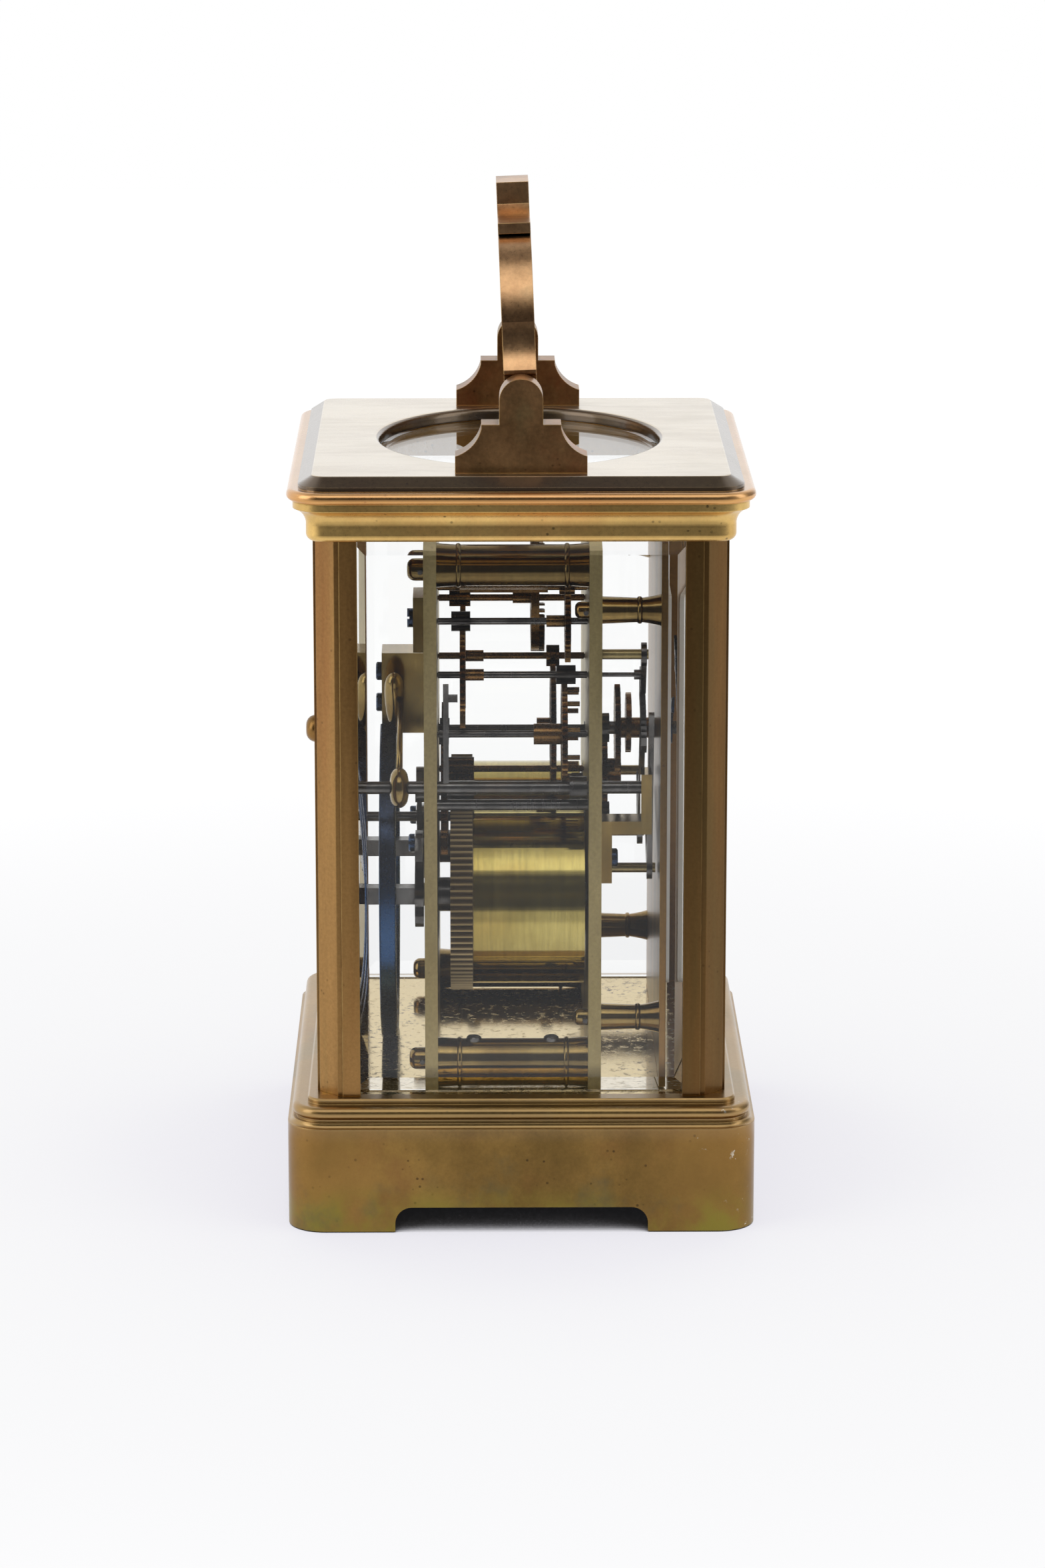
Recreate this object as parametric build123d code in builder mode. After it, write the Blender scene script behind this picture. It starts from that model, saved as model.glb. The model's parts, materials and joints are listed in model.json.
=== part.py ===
from build123d import *
import os
from math import asin, atan2, cos, degrees, hypot, pi, radians, sin, sqrt

# A glazed carriage clock that strikes the hours on a coiled gong.
# Origin at the middle of the underside of the base, +Z up, dial towards -Y, rear door towards +Y.
# Millimetres throughout.

os.makedirs("parts", exist_ok=True)

# Clearances
running_gap = 0.05
part_gap = 0.3

# Movement plates, which stand on the floor of the case
plate_width = 72.0
plate_height = 97.9
plate_thickness = 2.3
plate_spacing = 27.1
movement_setback = 1.45

# Case walls, from the inside outwards
side_gap = 1.5
dial_space = 10.5
dial_thickness = 2.1
hand_space = 4.5
glass_thickness = 3.0
glass_recess = 2.2
pillar_rise = 3.4
pillar_size = 7.8
pillar_chamfer = 3.75
pillar_quirk = 0.45

# Base
floor_height = 23.7
floor_thickness = 4.5
base_step = 5.3
base_corner = 6.75
base_wall = 6.0
plinth_height = 20.0
plinth_round = 0.9
base_groove = 1.6
bead_setback = 0.85
lip_setback = 3.6
lip_height = 1.0
foot_length = 19.3
foot_arch = 4.5
foot_arch_round = 3.0

# Cornice, as steps out from the line of the pillars and up from the pillars' tops
cornice_height = 11.54
cornice_bead = 4.5
cornice_corner = 7.0
cornice_wall = 6.2
cove_step = 1.1
fillet_step = 3.1
neck_step = 3.4
tier_step = 2.45
tier_top_step = -0.1
top_plate_thickness = 3.3
window_width = 65.6
window_depth = 53.0
window_round = 1.1
window_glass_thickness = 2.2

# Glass panes
bevel_width = 2.7
bevel_depth = 1.2
pane_seat = 1.3
pane_gap = 0.2

# Rear door
door_thickness = 3.0
door_setback = 0.6
door_gap = 0.4
door_bar = 3.2
door_pin_radius = 0.8
door_pin_length = 2.4
door_hinge_inset = 1.6
knob_radius = 2.6
knob_reach = 4.4
knob_neck = 1.2
knob_shank = 0.6
knob_shank_radius = 1.0
door_glass_thickness = 2.4
door_seat = 0.9
door_pane_inset = 0.5

# Carrying handle
bracket_foot = 23.2
bracket_thickness = 6.0
bracket_edge = 2.8
bracket_neck = 7.7
bracket_shoulder = 14.0
bracket_shoulder_height = 8.6
bracket_pivot_height = 12.8
bracket_foot_height = 3.0
bracket_edge_height = 0.7
bracket_cove = 0.65
handle_width = 5.8
handle_rise = 34.1
handle_lean = 2.2
handle_pin_radius = 1.3
handle_pin_length = 3.8
handle_tongue = 3.3
handle_grip = 10.6
handle_arm = 2.9
handle_crown = 5.0
handle_shoulder = 18.2
handle_bow = 3.1

# Movement pillars and dial feet
top_pillar_radius = 2.95
bottom_pillar_radius = 3.6
pillar_inset = 4.5
top_pillar_drop = 3.6
pillar_flare = 0.25
pillar_bead = 0.9
pillar_bead_inset = 3.9
pillar_tenon_radius = 2.0
pillar_tenon_length = 2.9
dial_foot_radius = 2.2
dial_foot_flare = 0.25
dial_foot_base_radius = 2.9
dial_foot_bead_place = 3.8
dial_foot_tenon_radius = 1.5
dial_foot_inset = 4.0
dial_foot_rise = 12.0
dial_foot_drop = 10.9
dial_foot_tenon_length = 2.5
pin_radius = 0.45
pin_length = 6.0
stop_rod_radius = 1.0
stop_rod_offset = (1.0, -3.45)

# Dial
mask_thickness = 1.2
mask_inset = 1.5
mask_rise = 0.8
enamel_width = 52.0
enamel_height = 72.0
enamel_drop = 6.0

# Barrels
barrel_spacing = 36.0
barrel_height = 31.3
barrel_radius = 16.2
great_wheel_width = 4.0
barrel_arbor_radius = 2.6
barrel_pivot_radius = 2.1
barrel_shoulder_radius = 3.1
winding_square = 3.1
winding_reach = 12.7
ratchet_radius = 6.0
ratchet_width = 1.6
ratchet_teeth = 18
click_distance = 10.6
click_width = 1.4

# Wheels and pinions: module, then teeth of the wheel and leaves of the pinion that it drives
great_module = 0.389
great_teeth = 88
great_leaves = 10
strike_second_module = 0.41
strike_second_teeth = 54
strike_second_leaves = 8
pin_module = 0.372
pin_teeth = 54
pin_leaves = 8
gathering_module = 0.388
gathering_teeth = 48
gathering_leaves = 8
warning_module = 0.34
warning_teeth = 42
warning_leaves = 7
going_second_module = 0.405
going_second_teeth = 60
going_second_leaves = 8
centre_module = 0.43
centre_teeth = 54
centre_leaves = 8
third_module = 0.35
third_teeth = 54
third_leaves = 8
contrate_teeth = 48
contrate_radius = 9.2
contrate_tooth = 1.0
escape_leaves = 6
escape_teeth = 15
escape_radius = 3.6
motion_module = 0.48
cannon_leaves = 10
minute_teeth = 30
minute_leaves = 8
hour_teeth = 32
set_leaves = 10
wheel_thickness = 1.0
wheel_rim = 1.3
contrate_rim = 1.5
contrate_face = 1.4
arbor_radius = 0.62
pivot_radius = 0.4
collet_radius = 1.9
collet_length = 5.0
small_collet_radius = 1.05
small_collet_length = 3.3
set_arbor_radius = 0.9
centre_arbor_radius = 1.2
hour_tube_radius = 1.9
screw_shank_radius = 0.9
screw_head_radius = 1.7
screw_head_height = 1.1
stud_radius = 0.9

# Where each arbor lies from the one before it, in degrees from +X towards +Z
strike_second_bearing = 88.5
pin_bearing = 111.3
gathering_bearing = 99.7
warning_bearing = 106.0
fly_bearing = 36.0
going_second_bearing = 116.5
third_bearing = 77.2
contrate_bearing = 87.3
set_arbor_place = (-2.7, 42.2)

# Strike work
hammer_place = (-31.0, 54.4)
hammer_arbor_radius = 1.15
hammer_strike_x = -7.5
hammer_head_radius = 2.05
hammer_head_length = 11.5
gong_radius = 30.0
gong_turns = 2.75
gong_pitch = 2.4
gong_strip = 1.2
gong_width = 3.0
gong_standoff = 5.3
gong_floor_gap = 0.4
gong_block_width = 8.0
gong_block_height = 15.0
pins_on_wheel = 10
pin_ring_radius = 8.2
lifting_pin_radius = 0.45
lifting_pin_length = 2.2
gathering_hub_radius = 0.9
gathering_finger = 1.4
fly_half = 4.0
fly_thickness = 0.5
hammer_rest = 0.9
hammer_tail = 2.9
hammer_hub_radius = 3.7
banking_arm_length = 19.0
banking_arm_bearing = 92.0
banking_arm_width = 1.2
banking_toe_place = 16.5
banking_toe = 1.6
arm_thickness = 1.0
cock_thickness = 1.9
cock_reach = 7.1
snail_radius = 7.0
snail_step = 0.33
snail_start = 150.0
rack_radius = 31.0
rack_low = 107.0
rack_high = 137.0
rack_teeth = 13
rack_tail = 11.0
rack_tail_bearing = 66.0
rack_tooth = 0.9
rack_band = 2.4
rack_bearing = -70.5
rack_hook_offset = (-7.9, 5.4)
rack_hook_lead = 10.0
lifting_place = (-19.0, 36.5)

# Platform escapement
platform_width = 32.0
platform_thickness = 1.8
balance_radius = 8.0
pallet_distance = 4.9
pallet_spread = 65.0
pallet_arm = 2.7
lever_distance = 6.6
escapement_bearing = 100.0
hairspring_turns = 5
hairspring_pitch = 0.78
hairspring_strip = 0.25
hairspring_inner = 1.2
roller_radius = 1.3

# Hands
hand_thickness = 0.5
hour_hand_length = 15.0
minute_hand_length = 23.0
shown_hours = 10
shown_minutes = 9


def placed(centre, bearing, distance):
    """Point at a distance from a centre, along a bearing in degrees."""
    return (centre[0] + distance * cos(radians(bearing)), centre[1] + distance * sin(radians(bearing)))


def bearing_of(centre, other):
    """Direction from one centre to another, in radians."""
    return atan2(other[1] - centre[1], other[0] - centre[0])


def bar(start, end, half_start, half_end):
    """Corners of a straight bar that tapers from one half width to another."""
    along = degrees(bearing_of(start, end))
    return [
        placed(start, along - 90, half_start),
        placed(end, along - 90, half_end),
        placed(end, along + 90, half_end),
        placed(start, along + 90, half_start),
    ]


def mesh_distance(module, teeth, leaves):
    """Distance between two meshing arbors."""
    return module * (teeth + leaves) / 2


# Places of the arbors
strike_barrel_at = (-barrel_spacing / 2, floor_height + barrel_height)
going_barrel_at = (barrel_spacing / 2, floor_height + barrel_height)
great_reach = mesh_distance(great_module, great_teeth, great_leaves)
strike_second_at = placed(strike_barrel_at, strike_second_bearing, great_reach)
strike_second_reach = mesh_distance(strike_second_module, strike_second_teeth, strike_second_leaves)
pin_at = placed(strike_second_at, pin_bearing, strike_second_reach)
gathering_at = placed(pin_at, gathering_bearing, mesh_distance(pin_module, pin_teeth, pin_leaves))
gathering_reach = mesh_distance(gathering_module, gathering_teeth, gathering_leaves)
warning_at = placed(gathering_at, warning_bearing, gathering_reach)
fly_at = placed(warning_at, fly_bearing, mesh_distance(warning_module, warning_teeth, warning_leaves))
going_second_at = placed(going_barrel_at, going_second_bearing, great_reach)
going_second_reach = mesh_distance(going_second_module, going_second_teeth, going_second_leaves)
centre_at = (0.0, going_second_at[1] + sqrt(going_second_reach**2 - going_second_at[0] ** 2))
third_at = placed(centre_at, third_bearing, mesh_distance(centre_module, centre_teeth, centre_leaves))
contrate_at = placed(third_at, contrate_bearing, mesh_distance(third_module, third_teeth, third_leaves))
set_at = (set_arbor_place[0], floor_height + set_arbor_place[1])
hammer_at = (hammer_place[0], floor_height + hammer_place[1])
rack_at = placed(gathering_at, rack_bearing, rack_radius + rack_tooth + gathering_finger + part_gap)
rack_hook_at = (gathering_at[0] + rack_hook_offset[0], gathering_at[1] + rack_hook_offset[1])
lifting_at = (lifting_place[0], floor_height + lifting_place[1])

# Levels and faces that follow from the sizes above
back_inner = movement_setback + plate_spacing / 2
back_outer = back_inner + plate_thickness
front_inner = movement_setback - plate_spacing / 2
front_outer = front_inner - plate_thickness
dial_back = front_outer - dial_space
dial_front = dial_back - dial_thickness
case_half_depth = -dial_front + hand_space + glass_thickness + glass_recess
rack_reach = -rack_at[0] - (rack_radius + rack_tooth) * cos(radians(rack_high))
hammer_reach = hammer_hub_radius - hammer_at[0]
side_inner = max(plate_width / 2 + side_gap, rack_reach + part_gap, hammer_reach + part_gap)
case_half_width = side_inner + glass_thickness + glass_recess
base_width = 2 * (case_half_width + base_step)
base_depth = 2 * (case_half_depth + base_step)
pillar_height = plate_height + pillar_rise
cornice_bottom = floor_height + pillar_height
case_top = cornice_bottom + cornice_height
plate_top = floor_height + plate_height
pane_half_depth = case_half_depth - pillar_size + pane_seat
pane_half_width = case_half_width - pillar_size + pane_seat
pane_bottom = floor_height + pane_gap
pane_top = cornice_bottom - pane_gap
glass_edge = glass_thickness - bevel_depth
handle_pivot_z = case_top + bracket_pivot_height
handle_top = handle_pivot_z + handle_rise
bracket_outer = case_half_width + tier_top_step - bracket_edge
bracket_inner = bracket_outer - bracket_thickness
door_outer = case_half_depth - door_setback
door_inner = door_outer - door_thickness
door_middle = (door_outer + door_inner) / 2
door_half_width = case_half_width - pillar_size - door_gap
door_bottom = floor_height + door_gap
door_top = cornice_bottom - door_gap
door_hinge_x = -door_half_width + door_hinge_inset


def upright(y):
    """Plane that faces the dial at depth y, with X across and Z up."""
    return Plane.XZ.offset(-y)


def save(piece, label):
    """Names a finished piece and writes it."""
    piece.label = label
    export_step(piece, f"parts/{label}.step")


def rod(centre, y_back, y_front, radius, mode=Mode.ADD):
    """Round bar along Y through a point of the plates."""
    with Locations((centre[0], (y_back + y_front) / 2, centre[1])):
        Cylinder(radius, y_back - y_front, rotation=(90, 0, 0), mode=mode)


def post(x, y, z_low, z_high, radius, mode=Mode.ADD):
    """Round bar along Z."""
    with Locations((x, y, (z_low + z_high) / 2)):
        Cylinder(radius, z_high - z_low, mode=mode)


def block(x_span, y_span, z_span, mode=Mode.ADD):
    """Box between two places on each axis."""
    middle = [(low + high) / 2 for low, high in (x_span, y_span, z_span)]
    size = [abs(high - low) for low, high in (x_span, y_span, z_span)]
    with Locations(tuple(middle)):
        Box(*size, mode=mode)


def toothed(teeth, steps, phase):
    """Outline of straight-flanked teeth; each step is a radius and a share of the half pitch."""
    points = []
    for index in range(teeth):
        middle = phase + 2 * pi * index / teeth
        for radius, share in steps:
            angle = middle + share * pi / teeth
            points.append((radius * cos(angle), radius * sin(angle)))
    return points


def wheel_teeth(module, teeth, phase):
    """Pointed teeth of a wheel."""
    radius = module * teeth / 2
    return toothed(teeth, ((radius - 1.75 * module, -1), (radius + 0.75 * module, 0)), phase)


def pinion_leaves(module, leaves, phase):
    """Flat-topped leaves of a pinion."""
    root = module * leaves / 2 - 1.1 * module
    tip = module * leaves / 2 + 0.6 * module
    return toothed(leaves, ((root, -0.5), (tip, -0.24), (tip, 0.24), (root, 0.5)), phase)


def meshed(phase, teeth, other_teeth, centre, other_centre):
    """Phase that puts a gap of the other gear on the tooth of this one, on the line of centres."""
    line = bearing_of(centre, other_centre)
    return line + pi - (phase - line) * teeth / other_teeth + pi / other_teeth


def prism(centre, y_back, y_front, points, mode=Mode.ADD):
    """Straight prism along Y on an outline about a centre."""
    with BuildSketch(upright(y_back)) as outline:
        with Locations(centre):
            Polygon(*points, align=None)
    extrude(outline.sketch, amount=y_back - y_front, mode=mode)


def crossed_wheel(centre, y_back, y_front, points, rim_inner, bore, spoke=1.4):
    """Toothed rim with four spokes and a hub."""
    with BuildSketch(upright(y_back)) as face:
        with Locations(centre):
            Polygon(*points, align=None)
            Circle(rim_inner, mode=Mode.SUBTRACT)
            Circle(collet_radius + 0.6)
            with Locations((0, 0)):
                Rectangle(2 * rim_inner + 0.4, spoke)
                Rectangle(spoke, 2 * rim_inner + 0.4)
            Circle(bore, mode=Mode.SUBTRACT)
    extrude(face.sketch, amount=y_back - y_front)


# The minute wheel meshes with the cannon pinion and with the pinion of the hand-setting arbor
cannon_reach = mesh_distance(motion_module, cannon_leaves, minute_teeth)
set_reach = mesh_distance(motion_module, set_leaves, minute_teeth)
set_span = hypot(centre_at[0] - set_at[0], centre_at[1] - set_at[1])
set_along = (set_span**2 + set_reach**2 - cannon_reach**2) / (2 * set_span)
set_aside = sqrt(set_reach**2 - set_along**2)
set_line = bearing_of(set_at, centre_at)
minute_at = (
    set_at[0] + set_along * cos(set_line) + set_aside * sin(set_line),
    set_at[1] + set_along * sin(set_line) - set_aside * cos(set_line),
)
hour_module = 2 * cannon_reach / (minute_leaves + hour_teeth)

# Tooth phases, carried along each train from its barrel
strike_second_leaf = meshed(0.0, great_teeth, great_leaves, strike_barrel_at, strike_second_at)
pin_leaf = meshed(0.0, strike_second_teeth, strike_second_leaves, strike_second_at, pin_at)
gathering_leaf = meshed(0.0, pin_teeth, pin_leaves, pin_at, gathering_at)
warning_leaf = meshed(0.0, gathering_teeth, gathering_leaves, gathering_at, warning_at)
fly_leaf = meshed(0.0, warning_teeth, warning_leaves, warning_at, fly_at)
going_second_leaf = meshed(0.0, great_teeth, great_leaves, going_barrel_at, going_second_at)
centre_leaf = meshed(0.0, going_second_teeth, going_second_leaves, going_second_at, centre_at)
third_leaf = meshed(0.0, centre_teeth, centre_leaves, centre_at, third_at)
contrate_leaf = meshed(0.0, third_teeth, third_leaves, third_at, contrate_at)
minute_phase = meshed(0.0, cannon_leaves, minute_teeth, centre_at, minute_at)
set_leaf = meshed(minute_phase, minute_teeth, set_leaves, minute_at, set_at)
hour_phase = meshed(0.0, minute_leaves, hour_teeth, minute_at, centre_at)

# Layers along Y between the plates and in front of them
great_back = back_inner - 2.3
great_front = great_back - great_wheel_width
barrel_front = front_inner + 0.6
second_back = back_inner - 0.6
second_front = great_back + 0.5
rear_wheel_back = back_inner - 4.1
rear_wheel_front = rear_wheel_back - wheel_thickness
pin_wheel_back = front_inner + 4.7
centre_wheel_back = front_inner + 6.4
contrate_back = front_inner + 10.0
warning_wheel_back = front_inner + 4.2
minute_back = front_outer - 0.9
hour_back = front_outer - 3.2
snail_back = front_outer - 5.2
rack_back = front_outer - 7.0
lifting_back = front_outer - 8.6
layer = 1.0
cock_front = front_outer - cock_reach


def moulded_ring(half_width, half_depth, corner, section):
    """Sweeps a section, given as outline steps inwards (negative) and up, round a rounded rectangle."""
    with BuildSketch() as outline:
        RectangleRounded(2 * half_width, 2 * half_depth, corner)
    path = outline.sketch.face().outer_wire()
    start = path @ 0
    along = path % 0
    outward = Vector(along.Y, -along.X, 0)
    if outward.dot(Vector(start.X, start.Y, 0)) < 0:
        outward = outward * -1
    facing = outward.cross(Vector(0, 0, 1))
    with BuildSketch(Plane(origin=start, x_dir=outward, z_dir=facing)) as profile:
        with BuildLine():
            section()
        make_face()
    sweep(profile.sketch, path=path)


def base_section():
    """Plinth with a rounded top edge, a groove, a bead and the lip of the floor."""
    bead_low = plinth_height + 0.5
    bead_high = floor_height - lip_height
    bead_middle = (bead_low + bead_high) / 2
    Line((-base_wall, 0), (0, 0))
    Line((0, 0), (0, plinth_height - plinth_round))
    RadiusArc((0, plinth_height - plinth_round), (-plinth_round, plinth_height), plinth_round)
    Polyline((-plinth_round, plinth_height), (-base_groove, plinth_height), (-base_groove, bead_low))
    ThreePointArc((-base_groove, bead_low), (-bead_setback, bead_middle), (-base_groove - 0.3, bead_high))
    Polyline(
        (-base_groove - 0.3, bead_high),
        (-lip_setback, bead_high),
        (-lip_setback, floor_height - plinth_round / 3),
        (-lip_setback - plinth_round / 3, floor_height),
        (-base_wall, floor_height),
        (-base_wall, 0),
    )


with BuildPart() as base:
    moulded_ring(base_width / 2, base_depth / 2, base_corner, base_section)
    with BuildSketch(Plane.XY.offset(floor_height - floor_thickness)) as floor:
        RectangleRounded(base_width - 2 * base_wall + 1, base_depth - 2 * base_wall + 1, base_corner / 4)
    extrude(amount=floor_thickness)
    with BuildSketch(Plane.YZ) as side_arch:
        RectangleRounded(base_depth - 2 * foot_length, 2 * foot_arch, foot_arch_round)
    extrude(amount=base_width, both=True, mode=Mode.SUBTRACT)
    with BuildSketch(Plane.XZ) as front_arch:
        RectangleRounded(base_width - 2 * foot_length, 2 * foot_arch, foot_arch_round)
    extrude(amount=base_depth, both=True, mode=Mode.SUBTRACT)
    post(
        door_hinge_x, door_middle, floor_height - door_pin_length, floor_height,
        door_pin_radius + running_gap, Mode.SUBTRACT,
    )
save(base.part, "base")


def corner_section(side_x, side_y):
    """Square pillar whose outer corner is cut off between two small quirks."""
    reach = pillar_chamfer + 2 * pillar_quirk
    shape = [
        (pillar_size, 0),
        (reach, 0),
        (reach, pillar_quirk),
        (pillar_chamfer, pillar_quirk),
        (pillar_quirk, pillar_chamfer),
        (pillar_quirk, reach),
        (0, reach),
        (0, pillar_size),
        (pillar_size, pillar_size),
    ]
    return [(side_x * (case_half_width - u), side_y * (case_half_depth - v)) for u, v in shape]


groove_width = glass_edge + 0.7
with BuildPart() as corner_pillars:
    with BuildSketch(Plane.XY.offset(floor_height)) as corners:
        for side_x in (-1, 1):
            for side_y in (-1, 1):
                Polygon(*corner_section(side_x, side_y), align=None)
    extrude(amount=pillar_height)
    for side_x in (-1, 1):
        block(
            (side_x * (side_inner - running_gap), side_x * (side_inner + groove_width)),
            (-pane_half_depth - running_gap, pane_half_depth + running_gap),
            (floor_height, cornice_bottom),
            Mode.SUBTRACT,
        )
    front_inner_glass = case_half_depth - glass_recess - glass_thickness
    block(
        (-pane_half_width - running_gap, pane_half_width + running_gap),
        (-front_inner_glass + running_gap, -front_inner_glass - groove_width),
        (floor_height, cornice_bottom),
        Mode.SUBTRACT,
    )
save(corner_pillars.part, "corner_pillars")


def cornice_section():
    """Cavetto, fillet, half-round bead and the sloped edge of the top tier."""
    steps = {
        "foot": 0.35 - cornice_bead,
        "cove": cove_step - cornice_bead,
        "fillet": fillet_step - cornice_bead,
        "neck": neck_step - cornice_bead,
        "tier": tier_step - cornice_bead,
        "top": tier_top_step - cornice_bead,
    }
    bead_low = cornice_height - 4.4
    bead_high = cornice_height - 2.35
    cove_low = 2.6
    cove_high = 5.6
    Line((-cornice_wall, 0), (steps["foot"], 0))
    RadiusArc((steps["foot"], 0), (steps["cove"], 1.1), -1.4)
    Line((steps["cove"], 1.1), (steps["cove"], cove_low))
    ThreePointArc(
        (steps["cove"], cove_low),
        (steps["cove"] + 0.45, (cove_low + cove_high) / 2 + 0.35),
        (steps["fillet"], cove_high),
    )
    Polyline(
        (steps["fillet"], cove_high),
        (steps["neck"], cove_high + 0.15),
        (steps["neck"], bead_low),
    )
    ThreePointArc((steps["neck"], bead_low), (0, (bead_low + bead_high) / 2), (steps["neck"], bead_high))
    Polyline(
        (steps["neck"], bead_high),
        (steps["tier"], bead_high),
        (steps["tier"], bead_high + 0.75),
        (steps["top"], cornice_height),
        (-cornice_wall, cornice_height),
        (-cornice_wall, 0),
    )


with BuildPart() as cornice:
    ring_half_width = case_half_width + cornice_bead
    ring_half_depth = case_half_depth + cornice_bead
    moulded_ring(ring_half_width, ring_half_depth, cornice_corner, cornice_section)
    with BuildSketch() as top_core:
        RectangleRounded(
            2 * (ring_half_width - cornice_wall) + 1,
            2 * (ring_half_depth - cornice_wall) + 1,
            cornice_corner / 5,
        )
    extrude(amount=cornice_height)
    with BuildSketch() as pocket:
        Rectangle(2 * (case_half_width - pillar_size), 2 * (case_half_depth - pillar_size))
    extrude(amount=cornice_height - top_plate_thickness, mode=Mode.SUBTRACT)
    glass_top = cornice_height - window_glass_thickness
    with BuildSketch() as rebate:
        Ellipse(window_width / 2 + 0.6, window_depth / 2 + 0.6)
    extrude(amount=glass_top, mode=Mode.SUBTRACT)
    with BuildSketch(Plane.XY.offset(cornice_height)) as window:
        Ellipse(window_width / 2 - window_round, window_depth / 2 - window_round)
    extrude(amount=-cornice_height, mode=Mode.SUBTRACT)
    rim = cornice.edges().group_by(Axis.Z)[-1].filter_by(GeomType.ELLIPSE)
    fillet(rim, window_round)
    post(door_hinge_x, door_middle, 0, door_pin_length, door_pin_radius + running_gap, Mode.SUBTRACT)
save(Pos(0, 0, cornice_bottom) * cornice.part, "cornice")

with BuildPart() as top_glass:
    glass_low = case_top - window_glass_thickness - window_glass_thickness
    with BuildSketch(Plane.XY.offset(glass_low)) as oval:
        Ellipse(window_width / 2 + 0.6 - running_gap, window_depth / 2 + 0.6 - running_gap)
    extrude(amount=window_glass_thickness)
    rim = top_glass.edges().group_by(Axis.Z)[-1]
    chamfer(rim, bevel_depth / 2, bevel_width)
save(top_glass.part, "top_glass")


def bevelled_pane(plane, half_width, height, thickness):
    """Flat pane with a wide shallow bevel all round its outer face."""
    edge = thickness - bevel_depth
    with BuildSketch(plane) as slab:
        Rectangle(2 * half_width, height)
    extrude(slab.sketch, amount=edge)
    with BuildSketch(plane.offset(edge)) as wide:
        Rectangle(2 * half_width, height)
    with BuildSketch(plane.offset(thickness)) as narrow:
        Rectangle(2 * (half_width - bevel_width), height - 2 * bevel_width)
    loft([wide.sketch.face(), narrow.sketch.face()])


pane_middle = (pane_bottom + pane_top) / 2
with BuildPart() as side_glasses:
    for side in (-1, 1):
        wall = Plane(origin=(side * side_inner, 0, pane_middle), x_dir=(0, 1, 0), z_dir=(side, 0, 0))
        bevelled_pane(wall, pane_half_depth, pane_top - pane_bottom, glass_thickness)
save(side_glasses.part, "side_glasses")

with BuildPart() as front_glass:
    wall = Plane(origin=(0, -front_inner_glass, pane_middle), x_dir=(1, 0, 0), z_dir=(0, -1, 0))
    bevelled_pane(wall, pane_half_width, pane_top - pane_bottom, glass_thickness)
save(front_glass.part, "front_glass")

# Rear door, hung on two pins at the left edge as seen from the dial
door_open_x = door_half_width - door_bar
door_open_low = door_bottom + door_bar
door_open_high = door_top - door_bar
door_pane_y = door_inner + door_pane_inset
door_pane_z = (door_bottom + door_top) / 2
door_pane_height = door_open_high - door_open_low + 2 * door_seat
knob_x = door_half_width - door_bar / 2
with BuildPart() as door_frame:
    block((-door_half_width, door_half_width), (door_inner, door_outer), (door_bottom, door_top))
    fillet(door_frame.edges().filter_by(Axis.Z).group_by(Axis.X)[0], door_thickness / 2 - running_gap)
    block(
        (-door_open_x, door_open_x), (door_inner, door_outer), (door_open_low, door_open_high), Mode.SUBTRACT
    )
    block(
        (-door_open_x - door_seat - running_gap, door_open_x + door_seat + running_gap),
        (door_pane_y - running_gap, door_pane_y + door_glass_thickness - bevel_depth / 2),
        (door_open_low - door_seat - running_gap, door_open_high + door_seat + running_gap),
        Mode.SUBTRACT,
    )
    post(
        door_hinge_x, door_middle, floor_height - door_pin_length + part_gap, door_bottom + door_bar / 4,
        door_pin_radius,
    )
    post(
        door_hinge_x, door_middle, door_top - door_bar / 4, cornice_bottom + door_pin_length - part_gap,
        door_pin_radius,
    )
    rod((knob_x, door_pane_z), door_outer, door_outer - knob_shank, knob_shank_radius, Mode.SUBTRACT)
save(door_frame.part, "door_frame")

with BuildPart() as door_glass:
    wall = Plane(origin=(0, door_pane_y, door_pane_z), x_dir=(-1, 0, 0), z_dir=(0, 1, 0))
    bevelled_pane(wall, door_open_x + door_seat, door_pane_height, door_glass_thickness)
save(door_glass.part, "door_glass")

with BuildPart() as door_knob:
    rod((knob_x, door_pane_z), door_outer + knob_reach, door_outer + knob_neck, knob_radius)
    fillet(door_knob.edges().group_by(Axis.Y)[-1], knob_radius * 0.7)
    rod((knob_x, door_pane_z), door_outer + knob_neck, door_outer - knob_shank, knob_shank_radius)
save(door_knob.part, "door_knob")


def bracket_outline():
    """Foot, two hollow curves, shoulders and a round-headed neck, up from the top plate."""
    foot = bracket_foot / 2
    shoulder = bracket_shoulder / 2
    neck = bracket_neck / 2
    cove_top = bracket_shoulder_height - bracket_edge_height
    cove_x = (foot + shoulder) / 2 - bracket_cove
    cove_z = (bracket_foot_height + cove_top) / 2 - bracket_cove
    Polyline((-foot, bracket_foot_height), (-foot, 0), (foot, 0), (foot, bracket_foot_height))
    ThreePointArc((foot, bracket_foot_height), (cove_x, cove_z), (shoulder, cove_top))
    Polyline(
        (shoulder, cove_top),
        (shoulder, bracket_shoulder_height),
        (neck, bracket_shoulder_height),
        (neck, bracket_pivot_height),
    )
    ThreePointArc(
        (neck, bracket_pivot_height), (0, bracket_pivot_height + neck), (-neck, bracket_pivot_height)
    )
    Polyline(
        (-neck, bracket_pivot_height),
        (-neck, bracket_shoulder_height),
        (-shoulder, bracket_shoulder_height),
        (-shoulder, cove_top),
    )
    ThreePointArc((-shoulder, cove_top), (-cove_x, cove_z), (-foot, bracket_foot_height))


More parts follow.
